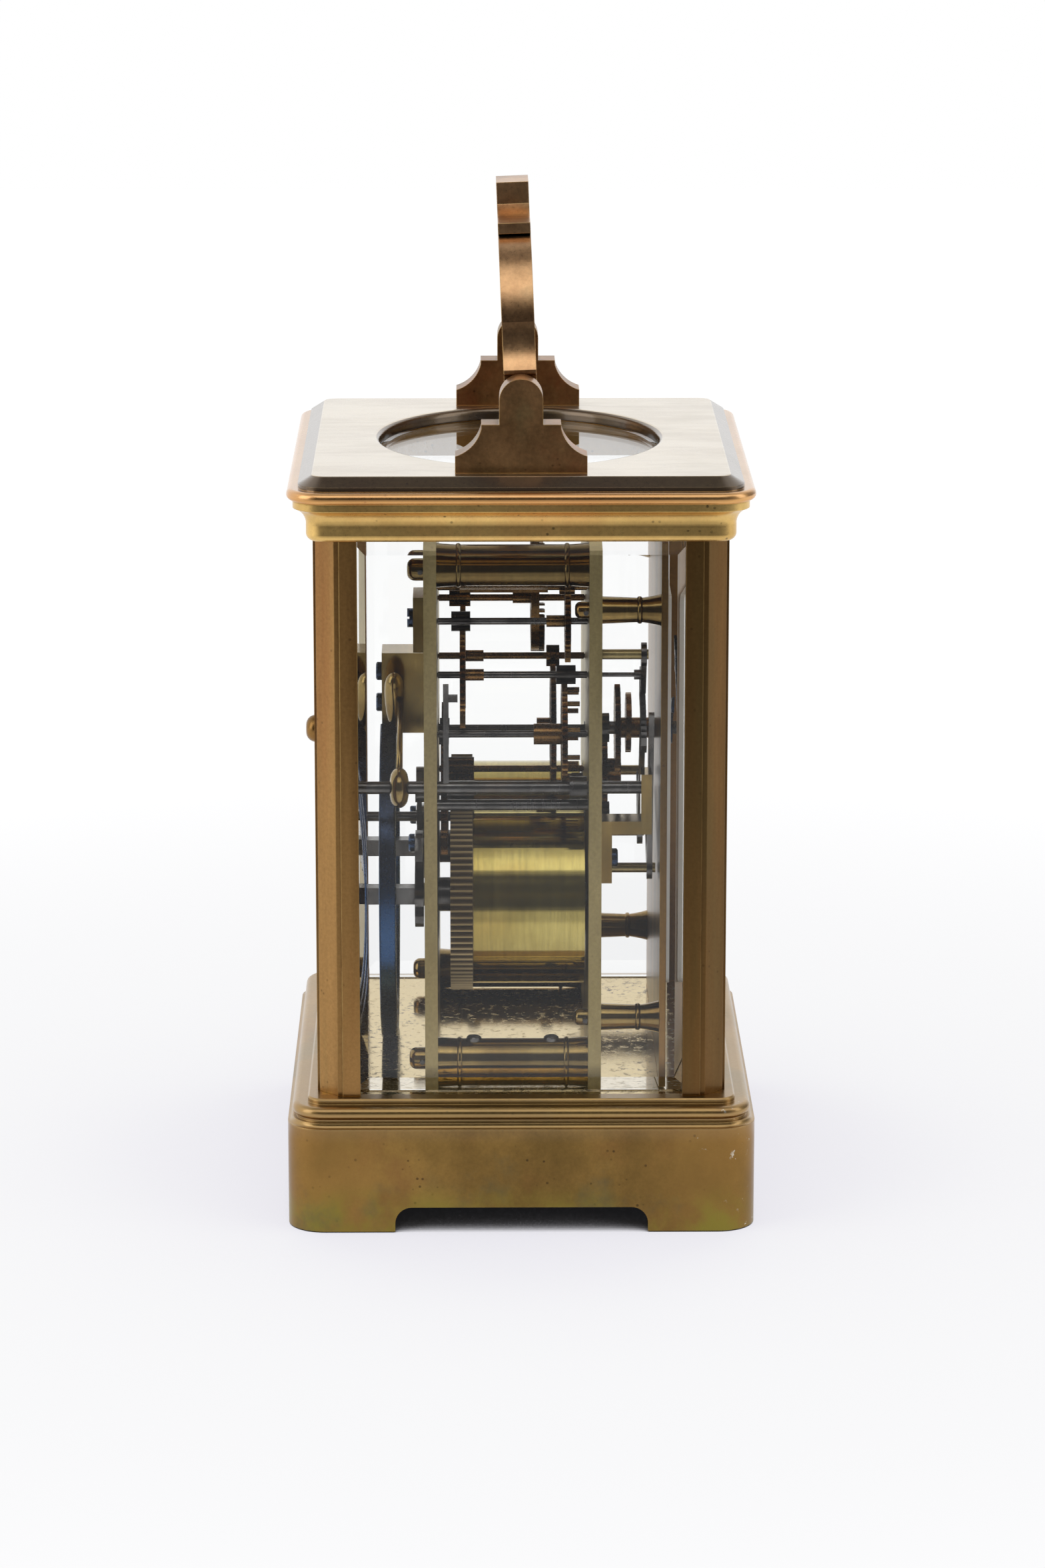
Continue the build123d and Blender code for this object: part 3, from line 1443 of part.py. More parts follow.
snail_steps = []
for hour in range(12):
    radius = snail_radius - snail_step * hour
    for edge in (0, 10, 20, 30):
        angle = radians(snail_start - 30 * hour - edge)
        snail_steps.append((radius * cos(angle), radius * sin(angle)))
with BuildPart() as hour_wheel:
    prism(centre_at, hour_back, hour_back - layer, wheel_teeth(hour_module, hour_teeth, hour_phase))
    prism(centre_at, snail_back, snail_back - layer, snail_steps)
    rod(centre_at, hour_back, dial_front - 1.3, hour_tube_radius)
    rod(centre_at, hour_back, dial_front - 1.3, centre_arbor_radius + running_gap, Mode.SUBTRACT)
save(hour_wheel.part, "hour_wheel")


def hand(place, bearing, length, tail, boss, bore, y_back):
    """Hand with a round boss, a slim stem and a moon-shaped eye near its tip."""
    with BuildSketch(upright(y_back)) as outline:
        with Locations(Location((place[0], place[1], 0), (0, 0, 1), bearing)):
            Polygon((-tail, -0.5), (length * 0.66, -0.45), (length * 0.66, 0.45), (-tail, 0.5), align=None)
            with Locations((length * 0.72, 0)):
                Circle(length * 0.09)
                Circle(length * 0.055, mode=Mode.SUBTRACT)
            Polygon(
                (length * 0.79, -0.7), (length, 0), (length * 0.79, 0.7), (length * 0.765, 0), align=None
            )
        with Locations(place):
            Circle(boss)
            Circle(bore, mode=Mode.SUBTRACT)
    extrude(outline.sketch, amount=hand_thickness)


minute_bearing = 90 - 6 * shown_minutes
hour_bearing = 90 - 30 * (shown_hours + shown_minutes / 60)
with BuildPart() as hour_hand:
    hand(centre_at, hour_bearing, hour_hand_length, 0, 2.9, hour_tube_radius, dial_front - 0.7)
save(hour_hand.part, "hour_hand")

with BuildPart() as minute_hand:
    hand(centre_at, minute_bearing, minute_hand_length, 5, 2.2, centre_arbor_radius, dial_front - 2.2)
save(minute_hand.part, "minute_hand")

with BuildPart() as set_arbor:
    rod(set_at, back_outer + winding_reach, minute_back - layer - part_gap, set_arbor_radius)
    prism(
        set_at, minute_back + part_gap, minute_back - layer - part_gap,
        pinion_leaves(motion_module, set_leaves, set_leaf),
    )
save(set_arbor.part, "set_arbor")

# Hammer and the strike work under the dial
hammer_back = back_outer + winding_reach - 2.0
arm_back = gong_front - part_gap
head_low = (hammer_strike_x, gong_at[1] + sqrt(gong_radius**2 - hammer_strike_x**2) + hammer_rest)
head_tilt = 110.4
head_high = placed(head_low, head_tilt, hammer_head_length)
head_y = gong_front + 0.3
with BuildPart() as hammer_arbor:
    rod(hammer_at, hammer_back, cock_front - cock_thickness, hammer_arbor_radius)
    hub_back = pin_wheel_back - wheel_thickness - part_gap
    rod(hammer_at, hub_back, front_inner + part_gap, hammer_arbor_radius + 0.9)
    tail_end = placed(hammer_at, degrees(bearing_of(hammer_at, pin_at)), hammer_tail)
    with BuildSketch(upright(front_inner + 3.0)):
        Polygon(*bar(hammer_at, tail_end, 0.7, 0.5), align=None)
    extrude(amount=2.0)
    banking_tip = placed(hammer_at, banking_arm_bearing, banking_arm_length)
    banking_back = back_inner - 1.1
    half = banking_arm_width / 2
    with BuildSketch(upright(banking_back)):
        Polygon(*bar(hammer_at, banking_tip, half, half), align=None)
    extrude(amount=layer)
    toe_at = placed(hammer_at, banking_arm_bearing, banking_toe_place)
    block(
        (toe_at[0] - half, toe_at[0] + half), (banking_back - layer - banking_toe, banking_back - layer),
        (toe_at[1] - half, toe_at[1] + half),
    )
save(hammer_arbor.part, "hammer_arbor")

with BuildPart() as hammer:
    rod(hammer_at, arm_back + 1.2, arm_back - arm_thickness - 1.2, hammer_hub_radius)
    fillet(hammer.edges(), 0.9)
    arm_end = placed(head_low, head_tilt, hammer_head_length * 0.62)
    with BuildSketch(upright(arm_back)):
        Polygon(*bar(hammer_at, arm_end, 1.3, 0.9), align=None)
    extrude(amount=arm_thickness)
    axis = (cos(radians(head_tilt)), 0, sin(radians(head_tilt)))
    with BuildSketch(Plane(origin=(head_low[0], head_y, head_low[1]), z_dir=axis)):
        Circle(hammer_head_radius)
    extrude(amount=hammer_head_length)
    rod(hammer_at, arm_back + 1.2, arm_back - arm_thickness - 1.2, hammer_arbor_radius, Mode.SUBTRACT)
save(hammer.part, "hammer")

with BuildPart() as strike_cock:
    cock_x = (hammer_at[0] - 3.0, hammer_at[0] + 3.0)
    cock_knee = hammer_at[1] - 8.0
    block(cock_x, (front_outer, front_outer - cock_thickness), (cock_knee - 9.0, cock_knee + 2.4))
    block(cock_x, (front_outer, cock_front - cock_thickness), (cock_knee, cock_knee + 2.4))
    block(cock_x, (cock_front, cock_front - cock_thickness), (cock_knee, hammer_at[1] + 3.0))
    rod(hammer_at, cock_front, cock_front - cock_thickness, hammer_arbor_radius + running_gap, Mode.SUBTRACT)
save(strike_cock.part, "strike_cock")

with BuildPart() as rack:
    with BuildSketch(upright(rack_back)):
        with BuildLine():
            CenterArc(rack_at, rack_radius, rack_low, rack_high - rack_low)
            CenterArc(rack_at, rack_radius - rack_band, rack_low, rack_high - rack_low)
            for angle in (rack_low, rack_high):
                Line(placed(rack_at, angle, rack_radius - rack_band), placed(rack_at, angle, rack_radius))
        make_face()
        for index in range(rack_teeth):
            angle = rack_low + (index + 0.5) * (rack_high - rack_low) / rack_teeth
            Polygon(
                placed(rack_at, angle - 0.9, rack_radius - 0.2),
                placed(rack_at, angle - 0.8, rack_radius + rack_tooth),
                placed(rack_at, angle + 0.9, rack_radius - 0.2),
                align=None,
            )
        band_middle = placed(rack_at, (rack_low + rack_high) / 2, rack_radius - 1)
        Polygon(*bar(rack_at, band_middle, 1.4, 1.0), align=None)
        tail = placed(rack_at, rack_tail_bearing, rack_tail)
        Polygon(*bar(rack_at, tail, 1.2, 0.7), align=None)
        with Locations(rack_at):
            Circle(2.4)
            Circle(stud_radius + running_gap, mode=Mode.SUBTRACT)
    extrude(amount=layer)
save(rack.part, "rack")


def lever(place, ends, y_back):
    """Flat lever on a stud with tapering arms to the given ends."""
    with BuildSketch(upright(y_back)) as outline:
        for end in ends:
            Polygon(*bar(place, end, 1.3, 0.6), align=None)
        with Locations(place):
            Circle(2.1)
            Circle(stud_radius + running_gap, mode=Mode.SUBTRACT)
    extrude(outline.sketch, amount=layer)


with BuildPart() as rack_hook:
    hook_end = placed(rack_at, rack_low + rack_hook_lead, rack_radius + rack_tooth + 1.1)
    lever(rack_hook_at, [hook_end], rack_back)
save(rack_hook.part, "rack_hook")

with BuildPart() as lifting_piece:
    lifted_end = (minute_at[0] - 2.0, minute_at[1] - 3.0)
    lifting_end = (rack_hook_at[0] + 5.0, rack_hook_at[1] - 12.0)
    lever(lifting_at, [lifted_end, lifting_end], lifting_back)
save(lifting_piece.part, "lifting_piece")

with BuildPart() as rear_cock:
    block(
        (warning_at[0] - 3.5, warning_at[0] + 6.0), (back_outer, back_outer + cock_thickness),
        (warning_at[1] - 5.0, warning_at[1] + 5.0),
    )
save(rear_cock.part, "rear_cock")

with BuildPart() as click_springs:
    for pivot, hand_side in ((strike_click_at, -1), (going_click_at, 1)):
        anchor = placed(pivot, 90 + hand_side * 20, 9.0)
        rod(anchor, ratchet_back, back_outer, 1.5)
        tip = placed(pivot, 90 + hand_side * 30, 3.9)
        with BuildSketch(upright(ratchet_back - 0.3)):
            Polygon(*bar(anchor, tip, 0.35, 0.25), align=None)
        extrude(amount=0.9)
save(click_springs.part, "click_springs")

with BuildPart() as movement_screws:
    for pivot in (strike_click_at, going_click_at):
        rod(pivot, ratchet_back + 0.1 + screw_head_height, ratchet_back + 0.1, screw_head_radius)
        rod(pivot, ratchet_back + 0.1, back_outer, screw_shank_radius)
    cock_face = back_outer + cock_thickness
    rod((warning_at[0] + 3.2, warning_at[1]), cock_face + screw_head_height, cock_face, screw_head_radius)
    for share in (0.33, 0.72):
        head_z = block_low + gong_block_height * share
        rod((0, head_z), gong_back - part_gap + screw_head_height, gong_back - part_gap, screw_head_radius)
    foot_face = front_outer - cock_thickness
    rod((hammer_at[0], cock_knee - 5.0), foot_face, foot_face - screw_head_height, screw_head_radius)
    for side_x in (-1, 1):
        for y in ((front_inner + front_outer) / 2, (back_inner + back_outer) / 2):
            post(
                side_x * (platform_width / 2 - 1.8), y, platform_top, platform_top + screw_head_height,
                plate_thickness / 2,
            )
    post(foot_x - 1.0, balance_at[1], cock_high, cock_high + screw_head_height / 2, screw_head_radius)
save(movement_screws.part, "movement_screws")
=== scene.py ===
# %% [markdown]
# # A striking carriage clock
# The clock stands on a white table and is seen from its left side, a little from above.
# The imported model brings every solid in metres, so this lesson adds the light, the finishes
# and the fine dressing that a solid model has no use for.

# %% Frame
import json

import bmesh
import bpy
import numpy as np
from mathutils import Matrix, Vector


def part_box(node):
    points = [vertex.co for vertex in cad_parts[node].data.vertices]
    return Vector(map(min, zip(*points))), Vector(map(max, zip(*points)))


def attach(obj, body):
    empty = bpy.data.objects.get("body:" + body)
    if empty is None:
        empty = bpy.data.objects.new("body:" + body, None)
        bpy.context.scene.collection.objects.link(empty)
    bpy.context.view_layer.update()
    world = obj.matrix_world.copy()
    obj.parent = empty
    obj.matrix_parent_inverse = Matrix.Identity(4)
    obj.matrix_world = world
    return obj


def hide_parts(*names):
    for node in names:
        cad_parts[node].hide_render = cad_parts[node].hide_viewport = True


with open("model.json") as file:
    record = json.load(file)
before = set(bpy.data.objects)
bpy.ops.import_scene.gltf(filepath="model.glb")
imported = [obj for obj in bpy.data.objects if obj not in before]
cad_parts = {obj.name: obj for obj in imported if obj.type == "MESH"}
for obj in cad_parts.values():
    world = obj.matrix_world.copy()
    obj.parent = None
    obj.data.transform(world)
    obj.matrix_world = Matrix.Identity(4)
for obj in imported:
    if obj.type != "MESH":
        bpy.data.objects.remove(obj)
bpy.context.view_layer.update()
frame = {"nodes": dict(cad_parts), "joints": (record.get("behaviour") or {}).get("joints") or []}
nodes = frame["nodes"]
MM = 0.001

# %% [markdown]
# ## Camera
# A long lens flattens perspective, which is why product photographs use one. The place and the
# lens were worked out from the corners of the base and of the top, so that edges fall where
# they fall in the picture. The picture is upright, so the sensor is fitted to its height.

# %% Camera
IMAGE_HEIGHT_PX = 2352
FOCAL_PX = 7805.8
SENSOR_MM = 36.0
CAMERA_AT = Vector((-0.93847, 0.00804, 0.29513))
CAMERA_AIM = Vector((0.0, -0.000585, 0.07114))

lens = bpy.data.cameras.new("photo_camera")
lens.sensor_fit = "VERTICAL"
lens.sensor_height = SENSOR_MM
lens.lens = FOCAL_PX / IMAGE_HEIGHT_PX * SENSOR_MM
lens.clip_start = 0.01
camera = bpy.data.objects.new("photo_camera", lens)
camera.location = CAMERA_AT
camera.rotation_euler = (CAMERA_AIM - CAMERA_AT).to_track_quat("-Z", "Y").to_euler()
bpy.context.scene.collection.objects.link(camera)
bpy.context.scene.camera = camera
bpy.context.scene.view_settings.view_transform = "Standard"
print("lens", round(lens.lens, 1), "mm")

# %% [markdown]
# ## Writing node trees
# A shader is a small graph. One helper that makes a node, sets its switches and joins its
# inputs keeps each finish short enough to read as a recipe. Colours are written with the 0 to
# 255 numbers of a colour picker and turned into the linear values that Blender works in.

# %% Node helpers
def paint(red, green, blue):
    """Linear colour of a picked colour: the standard sRGB curve on each channel."""
    shown = np.array((red, green, blue)) / 255
    linear = np.where(shown <= 0.04045, shown / 12.92, ((shown + 0.055) / 1.055) ** 2.4)
    return (*linear.tolist(), 1.0)


def put(tree, kind, settings=None, **inputs):
    """Adds a node; an input is a value or another node's output. Underscores stand for spaces."""
    made = tree.nodes.new(kind)
    for key, value in (settings or {}).items():
        setattr(made, key, value)
    for key, value in inputs.items():
        name = key.replace("_", " ")
        feed(tree, made.inputs[int(name[1:])] if name[1:].isdigit() else made.inputs[name], value)
    return made


def feed(tree, socket, value):
    """Gives a socket a fixed value or another node's output."""
    if isinstance(value, bpy.types.NodeSocket):
        tree.links.new(value, socket)
    else:
        socket.default_value = value


def ramp(tree, value, low, high):
    """Smooth step of a value from 0 at low to 1 at high."""
    settings = {"interpolation_type": "SMOOTHSTEP"}
    return put(tree, "ShaderNodeMapRange", settings, Value=value, From_Min=low, From_Max=high).outputs[0]


def blend(tree, share, first, second, kind="MIX"):
    """Colour mix of two colours."""
    mixed = put(tree, "ShaderNodeMix", {"data_type": "RGBA", "blend_type": kind})
    for socket, value in ((0, share), (6, first), (7, second)):
        feed(tree, mixed.inputs[socket], value)
    return mixed.outputs[2]


def sums(tree, first, second, operation="ADD"):
    """Arithmetic on two values."""
    return put(tree, "ShaderNodeMath", {"operation": operation}, i0=first, i1=second).outputs[0]


def noise(tree, vector, scale, detail=4.0, roughness=0.6):
    """Cloudy noise value at a place."""
    return put(
        tree, "ShaderNodeTexNoise", Vector=vector, Scale=scale, Detail=detail, Roughness=roughness
    ).outputs[0]


print("mid grey is", round(paint(128, 128, 128)[0], 3), "in linear light")

# %% [markdown]
# ## Light and stage
# The clock stands on a white sweep. Polished brass shows whatever is around it, so the
# surroundings matter more than the lamps: white behind and below, a dim room behind the camera
# and to the right, a bright ceiling over the camera that is dark again straight overhead, and
# soft boxes at both sides. The bands on the barrel and the pillars are these zones mirrored.

# %% World
WHITE = (1, 1, 1, 1)
DIM_ROOM, SIDE_ROOM = (0.06, 0.06, 0.065, 1), (0.2, 0.2, 0.21, 1)
CEILING, OVERHEAD = (0.75, 0.75, 0.76, 1), (0.16, 0.16, 0.17, 1)
world = bpy.data.worlds.new("studio")
world.use_nodes = True
bpy.context.scene.world = world
tree = world.node_tree
tree.nodes.clear()
path = put(tree, "ShaderNodeLightPath")
direction = put(tree, "ShaderNodeTexCoord").outputs["Generated"]
axes = put(tree, "ShaderNodeSeparateXYZ", Vector=direction)
room = blend(tree, ramp(tree, axes.outputs["X"], -0.5, 0.25), DIM_ROOM, WHITE)
room = blend(tree, ramp(tree, axes.outputs["Y"], -0.3, -0.9), room, SIDE_ROOM)
room = blend(tree, ramp(tree, axes.outputs["Z"], 0.58, 0.76), room, CEILING)
room = blend(tree, ramp(tree, axes.outputs["Z"], 0.84, 0.95), room, OVERHEAD)
fill = put(tree, "ShaderNodeBackground", Color=room, Strength=1.0)
white = put(tree, "ShaderNodeBackground", Color=WHITE, Strength=1.0)
direct = sums(tree, path.outputs["Glossy Depth"], 0.5, "LESS_THAN")
plain = sums(tree, path.outputs["Is Transmission Ray"], direct, "MULTIPLY")
plain = sums(tree, path.outputs["Is Camera Ray"], plain, "MAXIMUM")
seen = put(tree, "ShaderNodeMixShader", i0=plain, i1=fill.outputs[0], i2=white.outputs[0])
put(tree, "ShaderNodeOutputWorld", Surface=seen.outputs[0])
print("room nodes", len(tree.nodes))

# %% [markdown]
# The lamps are wide panels of cloth. A point lamp would leave hard white dots on the round pieces,
# while a panel leaves a soft band, and their power is low because the room gives most of the light.

# %% Lamps
def soft_box(name, place, aim, size, power):
    """Rectangular area lamp that faces a point."""
    data = bpy.data.lights.new(name, "AREA")
    data.shape = "RECTANGLE"
    data.size, data.size_y = size
    data.energy = power
    lamp = bpy.data.objects.new(name, data)
    lamp.location = place
    lamp.rotation_euler = (Vector(aim) - Vector(place)).to_track_quat("-Z", "Y").to_euler()
    bpy.context.scene.collection.objects.link(lamp)


CLOCK_MIDDLE = (0, 0, 0.08)
soft_box("top_box", (-0.4, 0.0, 0.9), CLOCK_MIDDLE, (0.9, 0.7), 1.6)
soft_box("left_box", (-0.35, 0.75, 0.4), CLOCK_MIDDLE, (0.5, 0.8), 2.4)
soft_box("right_box", (-0.2, -0.8, 0.45), CLOCK_MIDDLE, (0.4, 0.8), 1.4)

# %% [markdown]
# ## Surfaces from grids
# Every added piece is a sheet of points: rows run along one parameter, columns along the other.
# Joining neighbours with four-sided faces gives the mesh, and closing a direction makes a tube.
# Blender's own primitives would do for some pieces, but a formula keeps the sizes in view.

# %% Grid meshes
def grid_faces(rows, columns, close_u, close_v, start=0):
    """Faces between neighbouring points of a grid, numbered row by row."""
    index = np.arange(rows * columns).reshape(rows, columns) + start
    if close_u:
        index = np.vstack([index, index[:1]])
    if close_v:
        index = np.hstack([index, index[:, :1]])
    return np.stack([index[:-1, :-1], index[1:, :-1], index[1:, 1:], index[:-1, 1:]], -1).reshape(-1, 4)


def outward(grid, close_u, close_v):
    """A closed sheet faces outwards when its corner products sum to a positive volume; if not, its rows
    are read backwards."""
    points = grid.reshape(-1, 3) - grid.reshape(-1, 3).mean(0)
    a, b, c, d = np.moveaxis(points[grid_faces(*grid.shape[:2], close_u, close_v)], 1, 0)
    volume = (a * np.cross(b, c)).sum() + (a * np.cross(c, d)).sum()
    return grid[::-1] if volume < 0 else grid


def grid_piece(name, grids, finish, close_u=False, close_v=False):
    """One object from several grids of points in millimetres. Points that meet at seams and poles are
    welded."""
    points, faces, start = [], [], 0
    for grid in grids:
        if close_u or close_v:
            grid = outward(grid, close_u, close_v)
        faces.append(grid_faces(*grid.shape[:2], close_u, close_v, start))
        points.append(grid.reshape(-1, 3))
        start += grid.shape[0] * grid.shape[1]
    mesh = bpy.data.meshes.new(name)
    mesh.from_pydata((np.concatenate(points) * MM).tolist(), [], np.concatenate(faces).tolist())
    weld = bmesh.new()
    weld.from_mesh(mesh)
    bmesh.ops.remove_doubles(weld, verts=weld.verts, dist=1e-7)
    weld.to_mesh(mesh)
    weld.free()
    mesh.materials.append(finish)
    made = bpy.data.objects.new(name, mesh)
    bpy.context.scene.collection.objects.link(made)
    return made


print("faces on a closed tube of 8 rings of 6", len(grid_faces(8, 6, False, True)))

# %% [markdown]
# ## White floor
# The table is plain white paper. A white matt sheet would turn grey away from the lamps, so the sheet
# glows as white as the page where a ray from the camera, a mirror or the glass meets it, and an
# occlusion lookup keeps the shadow under the clock. Polished metal also mirrors the table's far
# end in front of the clock, where the room is dim, so mirrored rays find it darker there.

# %% White floor
FLOOR_DROP = -0.2
FLOOR_REACH = 1500
OPEN_PAPER, HALF_SHADE = (0.88, 0.88, 0.89, 1), (0.78, 0.77, 0.82, 1)
FULL_SHADE = (0.008, 0.008, 0.009, 1)
MIRRORED_NEAR, MIRRORED_FAR = (0.56, 0.56, 0.57, 1), (0.08, 0.08, 0.085, 1)
paper = bpy.data.materials.new("white_paper")
paper.use_nodes = True
tree = paper.node_tree
tree.nodes.clear()
rays = put(tree, "ShaderNodeLightPath")
shelter = put(tree, "ShaderNodeAmbientOcclusion", {"samples": 8}, Distance=0.09)
open_sky = ramp(tree, shelter.outputs["AO"], 0.16, 0.52)
shade = blend(tree, ramp(tree, shelter.outputs["AO"], 0.6, 1.0), HALF_SHADE, OPEN_PAPER)
shade = blend(tree, open_sky, FULL_SHADE, shade)
spot = put(tree, "ShaderNodeTexCoord").outputs["Object"]
away = put(tree, "ShaderNodeVectorMath", {"operation": "LENGTH"}, i0=spot).outputs["Value"]
shade = blend(tree, ramp(tree, away, 0.12, 0.45), shade, WHITE)
ahead = put(tree, "ShaderNodeSeparateXYZ", Vector=spot).outputs["X"]
mirrored = sums(tree, rays.outputs["Glossy Depth"], 0.5, "GREATER_THAN")
far_off = blend(tree, ramp(tree, ahead, -0.35, -0.6), MIRRORED_NEAR, MIRRORED_FAR)
beyond = sums(tree, ramp(tree, ahead, -0.14, -0.19), mirrored, "MULTIPLY")
shade = blend(tree, beyond, shade, far_off)
matt = put(tree, "ShaderNodeBsdfDiffuse", Color=(0.8, 0.8, 0.8, 1))
dim = put(tree, "ShaderNodeBsdfDiffuse", Color=(0.08, 0.08, 0.08, 1))
glow = put(tree, "ShaderNodeEmission", Color=shade, Strength=1.0)
both = put(tree, "ShaderNodeAddShader", i0=dim.outputs[0], i1=glow.outputs[0])
shown = sums(tree, rays.outputs["Is Camera Ray"], rays.outputs["Is Glossy Ray"], "MAXIMUM")
shown = sums(tree, shown, rays.outputs["Is Transmission Ray"], "MAXIMUM")
bright = put(tree, "ShaderNodeMixShader", i0=shown, i1=matt.outputs[0], i2=both.outputs[0])
put(tree, "ShaderNodeOutputMaterial", Surface=bright.outputs[0])
span = np.linspace(-FLOOR_REACH, FLOOR_REACH, 3)
floor_points = np.stack([*np.meshgrid(span, span, indexing="ij"), np.full((3, 3), FLOOR_DROP)], -1)
floor = grid_piece("white_floor", [floor_points], paper)
print("stage", floor.name)

# %% [markdown]
# ## Patina
# Old lacquered brass is never one colour. Handling leaves broad clouds of brown and olive, warm
# and cool tarnish, a fine speckle and dark pits. A painted picture could hold these, but every
# moulding would have to be unwrapped for it. One group makes the masks from noise at several sizes
# instead, and every metal finish places it with its own colours.

# %% Patina group
COLOUR, NUMBER, VECTOR = "NodeSocketColor", "NodeSocketFloat", "NodeSocketVector"


def new_group(name, inputs, outputs):
    """Shader node group with named sockets and its two end nodes."""
    group = bpy.data.node_groups.new(name, "ShaderNodeTree")
    for title, kind in inputs:
        group.interface.new_socket(title, in_out="INPUT", socket_type=kind)
    for title, kind in outputs:
        group.interface.new_socket(title, in_out="OUTPUT", socket_type=kind)
    return group, group.nodes.new("NodeGroupInput").outputs, group.nodes.new("NodeGroupOutput").inputs


patina, given, result = new_group(
    "patina",
    [
        ("Pale", COLOUR), ("Deep", COLOUR), ("Warm", COLOUR), ("Cool", COLOUR), ("Cloud", NUMBER),
        ("Stretch", VECTOR), ("Grain", VECTOR), ("Tint", NUMBER), ("Pits", NUMBER), ("Gloss", NUMBER),
    ],
    [("Colour", COLOUR), ("Roughness", NUMBER), ("Height", NUMBER)],
)
where = put(patina, "ShaderNodeTexCoord").outputs["Object"]
laid, drawn = (
    put(patina, "ShaderNodeVectorMath", {"operation": "MULTIPLY"}, i0=where, i1=given[title]).outputs[0]
    for title in ("Stretch", "Grain")
)
moved = put(patina, "ShaderNodeVectorMath", {"operation": "ADD"}, i0=laid, i1=(0.31, 0.17, 0.23)).outputs[0]
cloud = noise(patina, laid, given["Cloud"], 8.0, 0.62)
hue = noise(patina, moved, sums(patina, given["Cloud"], 0.6, "MULTIPLY"), 5.0)
fine = noise(patina, drawn, 1500.0, 5.0, 0.7)
body = blend(patina, ramp(patina, cloud, 0.32, 0.68), given["Deep"], given["Pale"])
warmth = sums(patina, ramp(patina, hue, 0.52, 0.72), given["Tint"], "MULTIPLY")
coolness = sums(patina, ramp(patina, hue, 0.47, 0.28), given["Tint"], "MULTIPLY")
body = blend(patina, warmth, body, given["Warm"])
body = blend(patina, coolness, body, given["Cool"])
speckle = sums(patina, sums(patina, fine, 0.7, "MULTIPLY"), 0.65)
body = blend(patina, 1.0, body, speckle, "MULTIPLY")
cells = put(patina, "ShaderNodeTexVoronoi", Vector=where, Scale=520.0).outputs["Distance"]
patches = ramp(patina, noise(patina, where, 130.0, 2.0), 0.5, 0.62)
pit = sums(patina, ramp(patina, cells, 0.17, 0.08), patches, "MULTIPLY")
pit = sums(patina, pit, given["Pits"], "MULTIPLY")
body = blend(patina, pit, body, paint(44, 32, 18))
rough = sums(patina, sums(patina, fine, 0.2, "MULTIPLY"), given["Gloss"])
rough = sums(patina, rough, sums(patina, coolness, 0.12, "MULTIPLY"))
raised = sums(patina, sums(patina, fine, 0.3, "MULTIPLY"), sums(patina, pit, -0.8, "MULTIPLY"))
for title, value in (("Colour", body), ("Roughness", rough), ("Height", raised)):
    patina.links.new(value, result[title])
print("patina nodes", len(patina.nodes))

# %% [markdown]
# ## Rubbed edges
# Edges that hands and cloths reach lose their brown first. Wear could be painted by hand, edge by
# edge. Here a bevel lookup rounds the shading at every edge by a quarter of a millimetre, and where
# it departs from the flat face it marks wear.

# %% Edge group
edge, given, result = new_group("rubbed_edge", [("Radius", NUMBER)], [("Wear", NUMBER), ("Normal", VECTOR)])
rounded = put(edge, "ShaderNodeBevel", {"samples": 6}, Radius=given["Radius"]).outputs[0]
flat = put(edge, "ShaderNodeNewGeometry").outputs["Normal"]
agree = put(edge, "ShaderNodeVectorMath", {"operation": "DOT_PRODUCT"}, i0=rounded, i1=flat).outputs["Value"]
where = put(edge, "ShaderNodeTexCoord").outputs["Object"]
broken = ramp(edge, noise(edge, where, 140.0, 5.0), 0.3, 0.6)
edge.links.new(sums(edge, ramp(edge, agree, 0.995, 0.84), broken, "MULTIPLY"), result["Wear"])
edge.links.new(rounded, result["Normal"])
print("edge nodes", len(edge.nodes))

# %% [markdown]
# ## Painted shade in hollows
# Grooves and the gaps between wheel teeth get painted shade, a darkening where shade falls. There are
# hundreds
# of teeth, so none is painted one by one: an occlusion lookup over about a millimetre finds these places,
# and the finish is darkened there as painted shade.

# %% Painted shade group
cavity_shade, given, result = new_group("cavity_shade", [("Reach", NUMBER)], [("Cavity Shade", NUMBER)])
near = put(cavity_shade, "ShaderNodeAmbientOcclusion", {"samples": 6, "only_local": True}, Distance=given["Reach"])
cavity_shade.links.new(ramp(cavity_shade, near.outputs["AO"], 0.8, 0.3), result["Cavity Shade"])
print("grime nodes", len(cavity_shade.nodes))

# %% [markdown]
# ## Metal finishes
# Each finish is the patina group in front of a metallic shader. Case brass is brown under old
# lacquer, which is a clear coat on the shader. Movement brass has no lacquer and is olive, and
# turned pieces are scratched round their axis, so their noise is squeezed along it.

# %% Metal recipe
PLAIN = (1, 1, 1)
# Colour of the painted shade in hollows and between teeth.
CAVITY_SHADE_COLOUR = (30, 24, 16)
EDGE_ROUND = 0.25 * MM
RELIEF_STRENGTH, RELIEF_DEPTH = 0.05, 0.4 * MM


